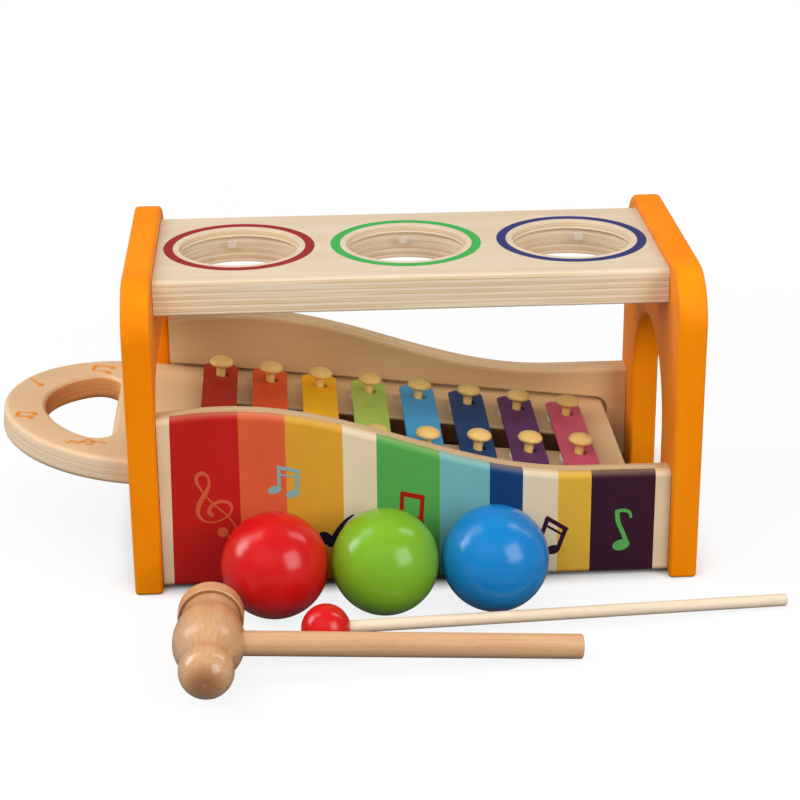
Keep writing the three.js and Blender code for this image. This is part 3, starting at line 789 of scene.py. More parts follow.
for where, centre in holes.items():
    low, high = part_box(f"grip_ring_{where}")
    outer = (high.x - low.x) / 2
    joint = math.radians(strip_joints[where])
    section = [
        (inner, low.z + strip_lip), (bend, low.z + strip_lip / 3), (shoulder, low.z), (outer, low.z),
        (outer, high.z), (shoulder, high.z), (bend, high.z - strip_lip / 3), (inner, high.z - strip_lip)]
    sweep, start = 2 * math.pi - gap_angle, joint - gap_angle / 2
    strip = bent_round(f"grip_strip_{where}", section, strip_steps, sweep, centre, start)
    hand_over(strip, "bench", "clear_plastic", clear_plastic, f"grip_ring_{where}")
    proud, weld_low, weld_high = inner - weld_proud, low.z + weld_inset, high.z - weld_inset
    section = [(proud, weld_low), (shoulder, weld_low), (shoulder, weld_high), (proud, weld_high)]
    start = joint + weld_angle / 2
    weld = bent_round(f"strip_weld_{where}", section, weld_steps, weld_angle, centre, start)
    ease(weld, weld_rounding, steps=2)
    hand_over(weld, "bench", "clear_plastic", welded_plastic)

# %% [markdown]
# ## End panels
# Both panels are the same sawn board with rounded top corners and feet. The left one is cut with a wide
# low mouth that the tray passes through, the right one with a round arch that lets the balls roll out.

# %% End panels
panel_corner = 24
panel_rounding = 1.8 * MM
arch_half, arch_spring = 40, 57.6
mouth_half, mouth_height, mouth_corner = 62.5, 94.6, 22
corner_steps = 20


def arch_edge():
    """The arch from its front foot to its back one."""
    return [(-arch_half, 0)] + arc((0, arch_spring), arch_half, 180, 0, 3 * corner_steps) + [(arch_half, 0)]


def mouth_edge():
    """The tray's mouth from its front foot to its back one."""
    corner_y, corner_z = mouth_half - mouth_corner, mouth_height - mouth_corner
    front = arc((-corner_y, corner_z), mouth_corner, 180, 90, corner_steps)
    back = arc((corner_y, corner_z), mouth_corner, 90, 0, corner_steps)
    return [(-mouth_half, 0)] + front + back + [(mouth_half, 0)]


panels = {"left": mouth_edge, "right": arch_edge}
for end, opening in panels.items():
    low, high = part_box(f"{end}_end_panel")
    half = (high.y - low.y) / 2 / MM
    height = high.z / MM
    corner_y, corner_z = half - panel_corner, height - panel_corner
    outline = [(-half, 0)] + opening() + [(half, 0)]
    outline += arc((corner_y, corner_z), panel_corner, 0, 90, corner_steps)
    outline += arc((-corner_y, corner_z), panel_corner, 90, 180, corner_steps)
    panel = sawn(f"{end}_panel", scaled(outline), high.x - low.x)
    settle(panel, Matrix.Translation((low.x, bench_middle.y, 0)) @ upright)
    ease(panel, panel_rounding, steps=4)
    hand_over(panel, "bench", "orange_paint", orange_paint, f"{end}_end_panel")

# %% [markdown]
# ## Front and back walls
# Each wall is sawn with one long wave along its top, high over the first keys and low over the last. A
# groove in its inner face carries the tray, and stops in a round end. Two curves give the wave: a long
# one from the foot to the crest, and a short fall from the crest to the left panel.

# %% Front and back walls
wave_start, wave_crest, wave_foot = 82.1, 84.3, 51.1
crest_inset, foot_inset = 29, 38
wave_ease = 59
wall_bottom = 2
wall_rounding = 3 * MM
bay_half = 113  # middle of the bench to an end panel
wall_end = bay_half - 0.2
tray_slope = math.radians(6.66)
tray_height = 45.65 * MM  # floor to the tray's top face at the middle of the bench
groove_depth = 4 * MM
groove_headroom = 1.8
tray_thickness = 12
rest_gap = 0.3
tray_frame = Matrix.Translation(bench_middle + UPWARD * tray_height) @ Matrix.Rotation(tray_slope, 4, "Y")
groove_radius = (tray_thickness + rest_gap + groove_headroom) / 2
groove_middle = groove_headroom - groove_radius
groove_stop = 98


def wave_edge():
    """The wall's outline: up its right end, along the wave and down its left end."""
    crest = crest_inset - bay_half
    foot = bay_half - foot_inset
    rise = sweep_curve(
        (foot, wave_foot), (foot - wave_ease, wave_foot),
        (crest + wave_ease, wave_crest), (crest, wave_crest), 60)
    fall = sweep_curve(
        (crest, wave_crest), (crest - crest_inset / 3, wave_crest),
        (-wall_end + crest_inset / 3, (wave_start + wave_crest) / 2), (-wall_end, wave_start), 12)
    long_end = wall_end + spare / MM
    foot_end = [(-long_end, wall_bottom), (long_end, wall_bottom), (long_end, wave_foot)]
    return foot_end + rise + fall[1:] + [(-long_end, wave_start)]


stand_up = Matrix.Rotation(math.pi / 2, 4, "X")  # from lying flat to standing along X
walls = {"front": (wall_stripes, "striped_ply"), "back": (wall_ply, "wall_ply")}
for side, (finish, slot) in walls.items():
    low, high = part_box(f"{side}_wall")
    thickness = high.y - low.y
    wall = sawn(f"{side}_wave_wall", scaled(wave_edge()), thickness)
    settle(wall, Matrix.Translation((bench_middle.x, high.y, 0)) @ stand_up)
    ease(wall, wall_rounding, steps=4)
    trim_ends(wall, bench_middle.x - wall_end * MM, bench_middle.x + wall_end * MM)
    groove_outline = [(-2 * bay_half, groove_middle - groove_radius)]
    groove_outline += arc((groove_stop, groove_middle), groove_radius, -90, 90, 24)
    groove_outline += [(-2 * bay_half, groove_middle + groove_radius)]
    groove = sawn("groove", scaled(groove_outline), groove_depth + MM)
    inner = high.y + MM if side == "front" else low.y + groove_depth
    settle(groove, tray_frame @ Matrix.Translation((0, inner - bench_middle.y, 0)) @ stand_up)
    carve(wall, groove)
    hand_over(wall, "bench", slot, finish, f"{side}_wall")

# %% [markdown]
# ## Tray
# The tray is one ply board. Its upper end is a round bow with a finger hole for a handle, and a long
# tapered opening under the keys lets their sound out. It is sawn flat, its edges are eased, and it is
# then laid on the slope of its grooves.

# %% Tray
tray_half = 61.7
tray_reach = 101.7  # middle of the bench to the tray's lower end
bow_reach = 125.5  # middle of the bench to the centre of the bow
handle_width = 19
finger_flat, finger_corner = 10.5, 8
sound_start, sound_end = -94.6, 83.9
sound_wide, sound_narrow = 17.5, 10.5
sound_corner = 5
tray_rounding = 2.4 * MM

tray_normal = (tray_frame.to_3x3() @ UPWARD).normalized()
tray_grain = (tray_frame.to_3x3() @ ALONG).normalized()
tray_edge = ("#f0d4b0", "#e9c8a0", "#d6b088")
# painted shade in the slot, painted light on the handle and painted warm shade in the finger hole
slot_shade_colour, handle_light_colour, finger_shade_colour = "#6a452c", "#f2e4d0", "#efbd8c"
slot_margin, slot_end_margin, finger_margin = 0.5, 1, 1.5  # reach of the painted shade and light past an opening's edge
most_handle_light = 0.15
opening_from, opening_to = 0.75, 0.35  # cosines between which the top turns into an opening's wall


def slotted_ply(name):
    """Tray ply: painted light on the handle, painted warm shade in the finger hole, painted shade in the
    slot.
    """
    material, tree, shader, coordinates = new_material(name)
    spot = coordinates.outputs["Object"]
    place = board_space(tree, coordinates, tray_grain, tray_normal)
    colour, pores = ply_colour(tree, coordinates, place, tray_normal, warm_bounce_face, tray_edge)
    on_wall = facing(tree, coordinates, tray_normal, opening_from, opening_to)
    split = add(tree, "SeparateXYZ", {0: spot})
    # painted shade: the walls of the sound slot are darkened, as they lie in deep shade
    middle = bench_middle.x + (sound_start + sound_end) / 2 * MM
    half_long = ((sound_end - sound_start) / 2 + slot_end_margin) * MM
    half_wide = (sound_wide + slot_margin) * MM
    lengthways = worked(tree, "COMPARE", split.outputs["X"], middle, half_long)
    sideways = worked(tree, "COMPARE", split.outputs["Y"], bench_middle.y, half_wide)
    in_slot = worked(tree, "MULTIPLY", sideways, lengthways)
    slot_shade_share = worked(tree, "MULTIPLY", in_slot, on_wall)
    colour = mixed(tree, slot_shade_share, colour, srgb(slot_shade_colour))
    # painted light: the handle beyond the left panel is lightened, as it gets more light outside the bench
    handle_light_share = ranged(
        tree, split.outputs["X"], bench_middle.x - bay_half * MM,
        bench_middle.x - bow_reach * MM, high=most_handle_light)
    colour = mixed(tree, handle_light_share, colour, srgb(handle_light_colour))
    # painted warm shade: the finger hole's wall is darkened and warmed, as by light bouncing inside it
    bow_centre = tray_frame @ (Vector((-bow_reach, 0, -tray_thickness / 2)) * MM)
    finger_reach = (tray_half - handle_width + finger_margin) * MM
    reach = vectored(tree, "DISTANCE", spot, bow_centre)
    in_hole = worked(tree, "LESS_THAN", reach, finger_reach)
    finger_shade_share = worked(tree, "MULTIPLY", in_hole, on_wall)
    colour = mixed(tree, finger_shade_share, colour, srgb(finger_shade_colour), blend_type="MULTIPLY")
    lacquer(tree, shader, colour, pores)
    return material


tray_ply = slotted_ply("lacquered_birch_ply_tray")


def finger_edge():
    """The finger hole: a round bow closed by a straight side with round corners."""
    radius = tray_half - handle_width
    corner_x = -bow_reach - finger_flat - finger_corner
    corner_y = math.sqrt((radius - finger_corner) ** 2 - (finger_flat + finger_corner) ** 2)
    meet = math.degrees(math.atan2(corner_y, -finger_flat - finger_corner))
    far = arc((corner_x, corner_y), finger_corner, 0, meet, 12)
    bow = arc((-bow_reach, 0), radius, meet, 360 - meet, 64)
    near = arc((corner_x, -corner_y), finger_corner, -meet, 0, 12)
    return far + bow[1:-1] + near


def sound_edge():
    """The sound opening: wide at its upper end and narrow at its lower one."""
    edge = []
    for x, half, side in ((sound_start, sound_wide, 1), (sound_end, sound_narrow, -1)):
        inner, corner, turn = x + side * sound_corner, side * (half - sound_corner), side * 90
        edge += arc((inner, corner), sound_corner, turn, turn + 90, 8)
        edge += arc((inner, -corner), sound_corner, turn + 90, turn + 180, 8)
    return edge


tray_outline = [(tray_reach, -tray_half), (tray_reach, tray_half)]
tray_outline += arc((-bow_reach, 0), tray_half, 90, 270, 96)
tray = sawn("xylophone_board", scaled(tray_outline), tray_thickness * MM)
settle(tray, Matrix.Translation((0, 0, -tray_thickness * MM)))
for edge in (finger_edge(), sound_edge()):
    cutter = sawn("cutter", scaled(edge), 2 * tray_thickness * MM)
    carve(tray, settle(cutter, Matrix.Translation((0, 0, -1.5 * tray_thickness * MM))))
ease(tray, tray_rounding, steps=3)
settle(tray, tray_frame)
hand_over(tray, "tray", "tray_ply", tray_ply, "xylophone_tray")

# %% [markdown]
# ## Printed notes
# Music notes and two clefs are screen-printed on the front wall and on the handle. They could be painted
# inside the materials, but a printed sign is a thin layer of ink that lies on the wood, so each one is
# modelled as that: strokes and note heads are sawn like very thin boards, joined, and laid a tenth of a
# millimetre proud.

# %% Strokes and note heads
ink_sunk, ink_proud = 0.05, 0.1  # mm of the ink's thickness that lie in the wood and above it
head_lean = 15  # degrees that a note head leans


def smooth_path(points, steps=6):
    """A smooth path through points, which may carry a width as a third value."""
    path = []
    padded = [points[0]] + list(points) + [points[-1]]
    for before, first, last, after in zip(padded, padded[1:], padded[2:], padded[3:]):
        for step in range(steps):
            t = step / steps
            weights = (
                -0.5 * t + t * t - 0.5 * t ** 3, 1 - 2.5 * t * t + 1.5 * t ** 3,
                0.5 * t + 2 * t * t - 1.5 * t ** 3, -0.5 * t * t + 0.5 * t ** 3)
            corners = list(zip(weights, (before, first, last, after)))
            path.append(tuple(sum(w * p[axis] for w, p in corners) for axis in range(3)))
    return path + [tuple(points[-1])]


def stroke(points):
    """A stroke of ink through points of (x, y, width)."""
    path = smooth_path(points)
    left, right = [], []
    for index, (x, y, width) in enumerate(path):
        before, after = path[max(index - 1, 0)], path[min(index + 1, len(path) - 1)]
        run_x, run_y = after[0] - before[0], after[1] - before[1]
        run = math.hypot(run_x, run_y)
        side_x, side_y = -run_y / run * width / 2, run_x / run * width / 2
        left.append((x + side_x, y + side_y))
        right.append((x - side_x, y - side_y))
    return sawn("stroke", scaled(left + right[::-1]), (ink_sunk + ink_proud) * MM)


def note_head(x, y, half_long, half_wide, lean=head_lean):
    """A leaning oval of ink."""
    cos, sin = math.cos(math.radians(lean)), math.sin(math.radians(lean))
    oval = [(half_long * a, half_wide * b) for a, b in arc((0, 0), 1, 0, 350, 35)]
    outline = [(x + a * cos - b * sin, y + a * sin + b * cos) for a, b in oval]
    return sawn("note head", scaled(outline), (ink_sunk + ink_proud) * MM)


def line(width, *points):
    """Points of a stroke that keeps one width."""
    return [(x, y, width) for x, y in points]


def printed_sign(name, strokes, ovals, ink, matrix, body, slot):
    """Joins strokes and note heads to one sign and lays it on the face that it is printed on."""
    bits = [stroke(points) for points in strokes] + [note_head(*oval) for oval in ovals]
    sign = bits[0]
    sign.name = name
    carve(sign, *bits[1:], operation="UNION")
    settle(sign, matrix @ Matrix.Translation((0, 0, -ink_sunk * MM)))
    hand_over(sign, body, slot, ink)


# %% Signs on the front wall
front_low, front_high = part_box("front_wall")
front_face = Matrix.Translation((bench_middle.x, front_low.y, 0)) @ stand_up
clef_bow = [
    (-89.6, 36.2, 1.5), (-91.3, 37.8, 1.8), (-91.0, 40.2, 1.5), (-88.8, 42.4, 1.38), (-85.4, 43.2, 1.5),
    (-82.3, 42.1, 1.5), (-81.4, 39.3, 1.08), (-83.1, 36.3, 0.84), (-86.8, 34.0, 0.72), (-90.8, 33.2, 0.72),
    (-94.1, 34.2, 0.96), (-96.1, 37.1, 1.5), (-96.1, 40.5, 2.04), (-94.5, 44.1, 2.16), (-92.4, 47.7, 2.04),
    (-91.0, 51.3, 1.32), (-91.3, 55.0, 1.08), (-93.7, 56.9, 1.92), (-96.2, 55.5, 1.92), (-96.1, 52.1, 1.5),
    (-94.3, 48.7, 0.84)]
clef_stem = [
    (-94.3, 48.7), (-92.0, 45.2), (-88.8, 41.4), (-83.9, 36.7), (-81.8, 33.8), (-80.2, 30.6), (-80.9, 27.2),
    (-83.8, 26.1)]
navy_stem = [
    (-38.6, 19.4, 2.4), (-37.6, 22.3, 2.6), (-34.7, 27.6, 2.2), (-31.3, 32.1, 1.5), (-27.8, 34.9, 0.6)]
wall_signs = {
    "clef": ("#d05d3d", [clef_bow, line(0.7, *clef_stem)], [(-85.8, 28.2, 2.4, 2.4)]),
    "grey_notes": ("#84b0ab", [
        line(1.5, (-60.4, 48.1), (-60.4, 59.2)), line(1.8, (-52.6, 46.2), (-52.1, 57.1)),
        line(1.6, (-61.1, 58.7), (-51.2, 56.4)), line(0.9, (-60.2, 55.3), (-52.6, 53.6))],
        [(-62.4, 47.9, 3.0, 1.85), (-54.6, 45.8, 3.0, 1.85)]),
    "navy_note": ("#161d36", [navy_stem], [(-40.4, 23.7, 3.8, 2.6, -45)]),
    "red_notes": ("#a81c14", [
        line(1.8, (-6.8, 34.0), (-6.4, 44.8)), line(2.3, (-7.1, 44.4), (3.3, 41.9)),
        line(1.9, (2.6, 42.6), (1.9, 31.6))],
        [(-8.2, 33.3, 2.9, 1.7, -32), (0.7, 30.9, 2.9, 1.7, -32)]),
    "purple_notes": ("#33142b", [
        line(2.0, (57.4, 30.5), (67.3, 24.0)), line(2.0, (58.3, 30.2), (54.1, 17.0)),
        line(2.0, (66.4, 25.0), (63.1, 15.0)), line(1.1, (57.2, 26.8), (65.2, 21.7))],
        [(51.7, 16.2, 3.3, 2.1), (60.7, 14.5, 3.4, 2.2)]),
    "green_note": ("#5aa955", [
        line(2.0, (94.0, 16.8), (91.8, 22.4), (89.8, 27.4), (89.2, 33.0)),
        [(88.9, 32.3, 1.6), (92.2, 32.8, 1.6), (94.8, 31.7, 1.4), (95.5, 29.0, 1.1)]],
        [(91.4, 15.8, 3.9, 2.6)]),
}
for sign, (code, strokes, ovals) in wall_signs.items():
    ink = printed_ink(f"printed_ink_{sign}", code)
    printed_sign(f"printed_{sign}", strokes, ovals, ink, front_face, "bench", "striped_ply")

# %% Signs on the handle
handle_ink = printed_ink("printed_ink_orange", "#e8942f")
lying_clef = [
    (-155.6, -45.8, 0.8), (-154.5, -47.1, 0.9), (-153.0, -45.8, 0.9), (-150.2, -46.8, 0.9),
    (-148.0, -43.8, 1.1), (-145.9, -41.4, 1.1), (-143.3, -43.9, 1.1), (-145.0, -47.3, 1.0),
    (-147.4, -46.3, 0.9)]
lying_stem = [
    (-154.4, -44.4), (-150.2, -45.0), (-146.1, -44.4), (-142.0, -43.6), (-138.8, -43.5), (-138.9, -45.2)]
handle_signs = {
    "far_notes": ([
        line(1.7, (-149.4, 50.1), (-150.2, 42.9)), line(1.2, (-149.6, 49.6), (-141.6, 49.5)),
        line(1.2, (-150.2, 43.4), (-142.8, 42.6))],
        [(-140.9, 48.3, 2.0, 1.4, 80), (-142.6, 41.6, 2.0, 1.4, 80)]),
    "single_note": ([line(1.3, (-178.2, 26.0), (-173.5, 19.5))], [(-172.9, 18.9, 2.1, 1.4, 60)]),
    "near_notes": ([
        line(1.7, (-179.3, -15.7), (-179.8, -21.6)), line(1.2, (-179.4, -16.2), (-172.5, -15.9)),
        line(1.2, (-179.8, -21.1), (-173.8, -20.4))],
        [(-172.2, -16.8, 2.0, 1.4, 80), (-173.4, -21.3, 2.0, 1.4, 80)]),
    "lying_clef": ([lying_clef, line(0.8, *lying_stem)], []),
}
for sign, (strokes, ovals) in handle_signs.items():
    printed_sign(f"printed_{sign}", strokes, ovals, handle_ink, tray_frame, "tray", "tray_ply")

# %% [markdown]
# ## Keys, pegs and felts
# Each key is a bar of metal with clipped corners and sloped edges, loose on two plastic pegs over felt
# washers. A key is sawn to its outline, its top is inset and raised for the sloped edges, and its two
# holes are bored. The peg and the washer are turned once and copied to every place.

# %% Keys
key_width, key_thickness = 16.6, 2.2
key_slope, key_drop = 2.4, 0.6
key_clip = 3.4
key_overhang = 15
key_rounding, key_sharp = 0.3 * MM, 50  # edges sharper than this many degrees are rounded
key_hole, key_hole_sides = 3.2 * MM, 32
key_play = 0.85  # a loose key's holes sit a little down the slope from the pegs
key_bottom = 3.2
first_key, last_key = -88.8, 78.1
long_span, short_span = 78, 47.2

keys = []
for index, colour in enumerate(key_codes):
    share = index / (len(key_codes) - 1)
    span = long_span + share * (short_span - long_span)
    keys.append((index + 1, colour, first_key + share * (last_key - first_key), span / 2))

for number, colour, x, peg_y in keys:
    half_width, half_length = key_width / 2, peg_y + key_overhang
    clipped_width, clipped_length = half_width - key_clip, half_length - key_clip
    outline = [
        (-half_width, -clipped_length), (-clipped_width, -half_length),
        (clipped_width, -half_length), (half_width, -clipped_length),
        (half_width, clipped_length), (clipped_width, half_length),
        (-clipped_width, half_length), (-half_width, clipped_length),
    ]
    key = sawn(f"key_bar_{number}", scaled(outline), (key_thickness - key_drop) * MM)
    only(key)
    bpy.ops.object.mode_set(mode="EDIT")
    bpy.ops.mesh.select_all(action="DESELECT")
    mesh = bmesh.from_edit_mesh(key.data)
    for face in mesh.faces:
        face.select_set(face.normal.z > 0.9)
    bmesh.update_edit_mesh(key.data)
    bpy.ops.mesh.inset(thickness=key_slope * MM, depth=key_drop * MM)
    bpy.ops.object.mode_set(mode="OBJECT")
    ease(key, key_rounding, steps=2, angle=key_sharp)
    for side in (1, -1):
        centre = Vector((key_play, side * peg_y, 0)) * MM
        above = centre + UPWARD * 2 * key_thickness * MM
        carve(key, bar("hole", centre - UPWARD * MM, above, key_hole, key_hole_sides))
    settle(key, tray_frame @ Matrix.Translation((x * MM, 0, key_bottom * MM)))
    hand_over(key, f"key_{number}", f"key_{colour}", key_enamels[colour], f"key_{number}")

# %% Pegs and felt washers
peg_stem, peg_depth = 2.15, 9
stem_tuck = 0.1  # how far the stem goes up into the head
head_bottom = 8.8
head_radius = 5.7
head_rim = 2.2  # height of the widest part above the head's underside
head_dome = 3
peg_sides, washer_sides = 32, 40
washer_radius, washer_bore = 8.6, 2.45
washer_low, washer_high = 0.3, 2.9
washer_soft = 0.7

head_widest = head_bottom + head_rim
peg_profile = [(0, -peg_depth), (peg_stem, -peg_depth), (peg_stem, head_bottom + stem_tuck)]
peg_profile += [(head_radius * x, head_bottom + head_rim * (1 + y)) for x, y in arc((0, 0), 1, -50, 0, 4)]
peg_profile += [(head_radius * x, head_widest + head_dome * y) for x, y in arc((0, 0), 1, 8, 88, 10)]
peg_profile += [(0, head_widest + head_dome)]
peg_master = turned("peg_master", scaled(peg_profile), peg_sides)
washer_side = washer_radius - washer_soft
washer_profile = [(washer_bore, washer_low), (washer_side, washer_low)]
washer_profile += arc((washer_side, washer_low + washer_soft), washer_soft, -60, 0, 3)
washer_profile += arc((washer_side, washer_high - washer_soft), washer_soft, 0, 90, 4)
washer_profile += [(washer_bore, washer_high), (washer_bore, washer_low)]
washer_master = turned("washer_master", scaled(washer_profile), washer_sides)

for number, colour, x, peg_y in keys:
    for row, side in (("far", 1), ("near", -1)):
        place = tray_frame @ Matrix.Translation((x * MM, side * peg_y * MM, 0))
        peg = copied(peg_master, f"mushroom_{row}_{number}", place)
        hand_over(peg, "tray", "peg_plastic", peg_plastic, f"peg_{row}_{number}")
        washer = copied(washer_master, f"felt_{row}_{number}", place)
        hand_over(washer, "tray", "white_felt", white_felt, f"washer_{row}_{number}")
bpy.data.objects.remove(peg_master)
bpy.data.objects.remove(washer_master)

# %% [markdown]
# ## Balls
# The balls are turned from wood and dipped in gloss paint. A turned ball keeps a small flat at each pole
# where the lathe held it, so the profile ends in one. The poles lie level here, as they would on a ball
# that has rolled.

# %% Balls
pole_flat = 7  # degrees of the profile that are flattened at each pole
pole_rounding, pole_sharp = 0.6 * MM, 4  # the rim of a flat is only a few degrees sharp
ball_bends, ball_sides = 56, 96


def turned_ball(name, radius, bends, sides):
    """A ball with a flat at each pole, its axis upright."""
    half_circle = arc((0, 0), radius, -90 + pole_flat, 90 - pole_flat, bends)
    flat = half_circle[-1][1]
    return turned(name, [(0, -flat)] + half_circle + [(0, flat)], sides)


for colour, paint in ball_paints.items():
    low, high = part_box(f"{colour}_ball")
    ball = turned_ball(f"{colour}_wood_ball", ball_radius, ball_bends, ball_sides)
    settle(ball, Matrix.Translation((low + high) / 2) @ Matrix.Rotation(math.pi / 2, 4, "Y"))
    ease(ball, pole_rounding, steps=2, angle=pole_sharp)
    hand_over(ball, f"{colour}_ball", f"ball_{colour}", paint, f"{colour}_ball")

# %% [markdown]
# ## Hammer and beater
# The hammer head is turned from beech: a knob in front with the lathe's dimple at its tip, a bulge where
# the handle goes in, and a cap behind with a step. The handle and the beater's stick are dowels with
# eased ends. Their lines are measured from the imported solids, so they lie just where those do.

# %% Hammer and beater
def axis_of(node):
    """The two ends of a long solid's centre line, lower X or Y first."""
    points = np.array([vertex.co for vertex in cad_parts[node].data.vertices])
    centre = (points.min(0) + points.max(0)) / 2
    direction = np.linalg.svd(points - points.mean(0), full_matrices=False)[2][0]
    direction *= np.sign(direction[np.argmax(np.abs(direction))])
    along = (points - centre) @ direction
    middle = centre + direction * (along.max() + along.min()) / 2
    reach = (along.max() - along.min()) / 2
    return Vector(middle - direction * reach), Vector(middle + direction * reach)


head_front, head_back = 36.5, 31.5  # handle to the tip of the knob and to the face of the cap
head_bulge, head_knob, head_cap = 15, 11.4, 14
head_waist, head_neck = 10.6, 12.2
cap_length, cap_rounding, cap_chamfer = 9.5, 2.5, 0.5
head_turn = math.radians(-2.2)  # the handle isn't quite square in the head
head_sides, stick_sides = 72, 40
beater_bends, beater_sides = 40, 64
handle_seat_sides, stick_seat_sides = 48, 32
dimple_radius, dimple_depth = 1.3, 0.5
knob_start = -82  # degrees at which the dimple ends and the knob begins
stick_end = 0.9  # easing of a stick's end
seat_play = 0.2  # a stick's seat is bored this much wider
hammer_stick, beater_stick = 5.25, 2.7
handle_seat = 5  # how far the handle goes past the middle of the head

knob_centre = head_knob - head_front
knob_sweep = math.degrees(math.acos(head_waist / head_knob))
waist_y = knob_centre + head_knob * math.sin(math.radians(knob_sweep))
cap_start = head_back - cap_length
head_profile = [(0, -head_front + dimple_depth), (dimple_radius / 2, -head_front + 0.7 * dimple_depth)]
head_profile += arc((0, knob_centre), head_knob, knob_start, knob_sweep, 22)
head_profile += sweep_curve(
    (head_waist, waist_y), (head_waist, waist_y / 2),
    (head_bulge, waist_y / 2), (head_bulge, 0), 14)[1:]
head_profile += sweep_curve(
    (head_bulge, 0), (head_bulge, cap_start / 2),
    (head_neck, cap_start / 2), (head_neck, cap_start), 16)[1:]
head_profile += [(head_cap - cap_chamfer, cap_start), (head_cap, cap_start + cap_chamfer)]
head_profile += arc((head_cap - cap_rounding, head_back - cap_rounding), cap_rounding, 0, 90, 5)
head_profile += [(0, head_back)]

handle_start, handle_end = axis_of("hammer_handle")
handle_run = handle_end - handle_start
handle_line = handle_run.normalized()
square_line = UPWARD.cross(handle_line).normalized()
head_line = Matrix.Rotation(head_turn, 3, handle_line.cross(square_line)) @ square_line
head_roll = math.atan2(head_bulge - head_cap, head_back - cap_rounding)  # until the cap rests on the floor
head_line = Matrix.Rotation(-head_roll, 3, handle_line) @ head_line
head_middle = handle_start + handle_line * handle_seat * MM
head_beech = turned_beech("lacquered_beech_head", head_line, "#d5a67b", "#c89566", "#935a34", coat=0.75)
handle_beech = turned_beech(
    "lacquered_beech_handle", handle_line, "#deb188", "#d09f72", "#a0704a", coat=0.2)

head = turned("hammer_turned_head", scaled(head_profile), head_sides)
settle(head, laid_along(head_middle, head_line))
seat_start = handle_start - handle_run * 0.001  # a little early, so that the bore is clean
carve(head, bar("seat", seat_start, handle_end, (hammer_stick + seat_play) * MM, handle_seat_sides))
hand_over(head, "hammer", "hammer_beech", head_beech, "hammer_head")


def dowel_stick(name, start, end, radius):
    """A round stick with its far end eased, laid along a line."""
    length = (end - start).length / MM
    profile = [(0, 0), (radius, 0)]
    profile += [(radius, length * share) for share in (0.25, 0.5, 0.75)]
    profile += arc((radius - stick_end, length - stick_end), stick_end, 0, 90, 5) + [(0, length)]
    return settle(turned(name, scaled(profile), stick_sides), laid_along(start, end - start))


handle = dowel_stick("hammer_dowel", handle_start, handle_end, hammer_stick)
hand_over(handle, "hammer", "handle_beech", handle_beech, "hammer_handle")

stick_start, stick_far = axis_of("beater_stick")
stick_line = (stick_far - stick_start).normalized()
stick_wood = turned_beech("sanded_pale_dowel", stick_line, "#efdcc2", "#e4ccaa", "#d2b48c", coat=0.0)
stick = dowel_stick("beater_dowel", stick_start, stick_far, beater_stick)
hand_over(stick, "beater", "beater_wood", stick_wood, "beater_stick")

knob_low, knob_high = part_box("beater_head")
knob = turned_ball("beater_wood_ball", (knob_high.z - knob_low.z) / 2, beater_bends, beater_sides)
settle(knob, laid_along((knob_low + knob_high) / 2, stick_line))
carve(knob, bar("seat", stick_start, stick_far, (beater_stick + seat_play) * MM, stick_seat_sides))
hand_over(knob, "beater", "beater_red", ball_paints["red"], "beater_head")

# %% [markdown]
# ## Hidden dowels
# Four dowels hold the board between the panels. They are never seen, so they aren't modelled again: their
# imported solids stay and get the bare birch.

# %% Hidden dowels
for node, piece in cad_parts.items():
    if node.startswith("dowel_"):
        piece.data.materials.clear()
        piece.data.materials.append(dowel_ply)
print("four dowels keep their solids, inside the board and the panels")

# %% [markdown]
# ## Floor, light and background
# The toy stands on a plain pale floor among soft boxes. Reflections in the balls give the places of most
# of them: a tall one at the left with a bright window below it, a squarer one at the right near the
# camera and a dim tall one at the right side. A broad fill from the left front, a weak top box and a grey
# sky add the rest. To the camera the floor is white, and it keeps the whole shade beneath the bench.

# %% Floor
floor_size = 40
floor_gap = 0.05 * MM  # the floor lies this far under the feet
bench_half = (118 * MM, 66 * MM)  # half-sizes of the floor beneath the bench, which keeps its shade
white, dim = (1, 1, 1, 1), (0.1, 0.1, 0.1, 1)
mirror_share = 0.2  # how much of the white floor a shine shows
fades = ((1, 1.2, 0.84), (2, 5, 1), (5, 25, 1))  # in half-sizes from where to where, and how white

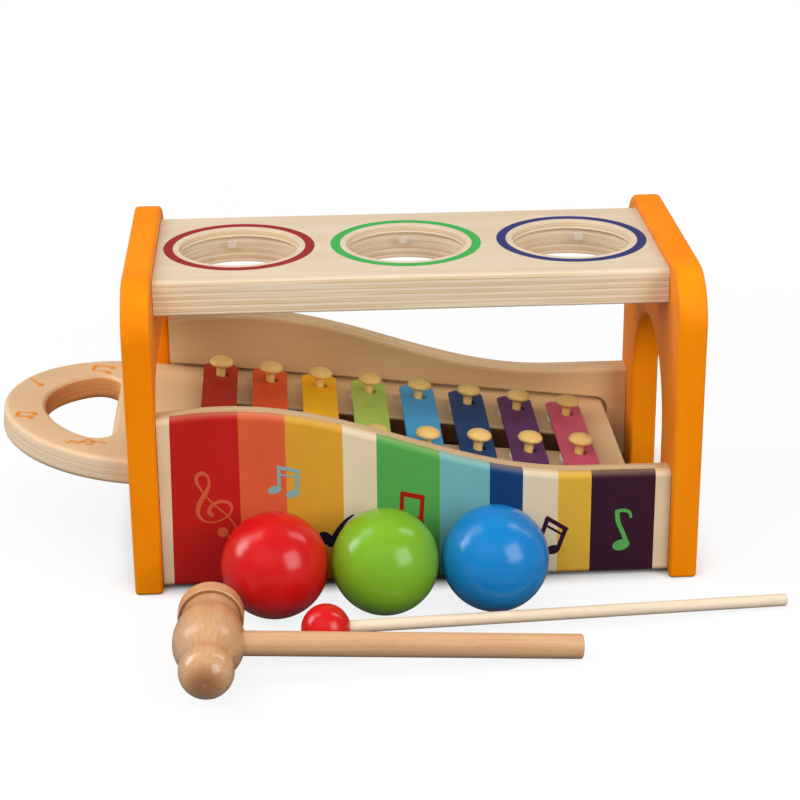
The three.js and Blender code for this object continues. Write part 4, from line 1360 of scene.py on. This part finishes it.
below = (0, 0, cad_low.z - floor_gap)
floor = started("studio_floor", bpy.ops.mesh.primitive_plane_add, size=floor_size, location=below)
material, tree, shader, coordinates = new_material("pale_studio_floor")
path = add(tree, "LightPath")
to_camera = path.outputs["Is Camera Ray"]
mirrored = worked(tree, "MAXIMUM", path.outputs["Is Glossy Ray"], path.outputs["Is Transmission Ray"])
seen = worked(tree, "MULTIPLY_ADD", mirrored, mirror_share, to_camera)
tone = mixed(tree, seen, dim, white)
feed(tree, shader, {"Base Color": tone, "Roughness": 1.0, "Specular IOR Level": 0.0})
away = vectored(tree, "SUBTRACT", coordinates.outputs["Object"], bench_middle)
in_halves = vectored(tree, "MULTIPLY", away, (1 / bench_half[0], 1 / bench_half[1], 0))
outward = vectored(tree, "ABSOLUTE", in_halves)
split = add(tree, "SeparateXYZ", {0: outward})
reach = worked(tree, "MAXIMUM", split.outputs["X"], split.outputs["Y"])
near, far, farther = [
    ranged(tree, reach, start, end, high=most, interpolation_type="SMOOTHSTEP")
    for start, end, most in fades]
bright = worked(tree, "MAXIMUM", near, far)
direct = worked(tree, "MULTIPLY", bright, to_camera)
reflected = worked(tree, "MULTIPLY", farther, mirrored)
share = worked(tree, "MAXIMUM", direct, reflected)
glow = add(tree, "Emission", {"Color": white, "Strength": 1.0})
surface = add(tree, "MixShader", {0: share, 1: shader, 2: glow})
feed(tree, tree.nodes["Material Output"], {"Surface": surface})
floor.data.materials.append(material)
print("floor of", floor_size, "m, white to the camera")

# %% Sky and lamps
sky_strength = 0.2
lamp_distance = 1.3
aim_height = 60 * MM

world = bpy.data.worlds.new("studio_sky")
world.use_nodes = True
feed(world.node_tree, world.node_tree.nodes["Background"], {"Color": white, "Strength": sky_strength})
bpy.context.scene.world = world

lamps = {  # direction from the bench, width and height in metres, and power in watts
    "left_soft_box": ((-0.72, 0.17, 0.67), (0.5, 1.2), 4.8),
    "left_window": ((-0.89, 0.05, 0.44), (0.4, 0.6), 4.2),
    "front_soft_box": ((0.571, -0.693, 0.444), (0.7, 0.75), 7.8),
    "front_fill": ((-0.34, -0.69, 0.64), (1.2, 0.9), 9.5),
    "right_soft_box": ((0.70, 0.22, 0.68), (0.25, 1.0), 3.5),
    "top_soft_box": ((0.05, 0.3, 0.95), (0.9, 0.6), 1.0),
}
fills = ("front_fill", "top_soft_box")  # these light the pieces but are too broad to see in a shine
aim = bench_middle + UPWARD * aim_height
for name, (direction, size, power) in lamps.items():
    place = aim + Vector(direction).normalized() * lamp_distance
    lamp = started(name, bpy.ops.object.light_add, type="AREA", location=place)
    lamp.data.shape = "RECTANGLE"
    lamp.data.size, lamp.data.size_y = size
    lamp.data.energy = power
    lamp.visible_glossy = name not in fills
    lamp.rotation_euler = Vector(direction).to_track_quat("Z", "Y").to_euler()
bpy.context.scene.view_settings.view_transform = "Standard"
print(len(lamps), "lamps")
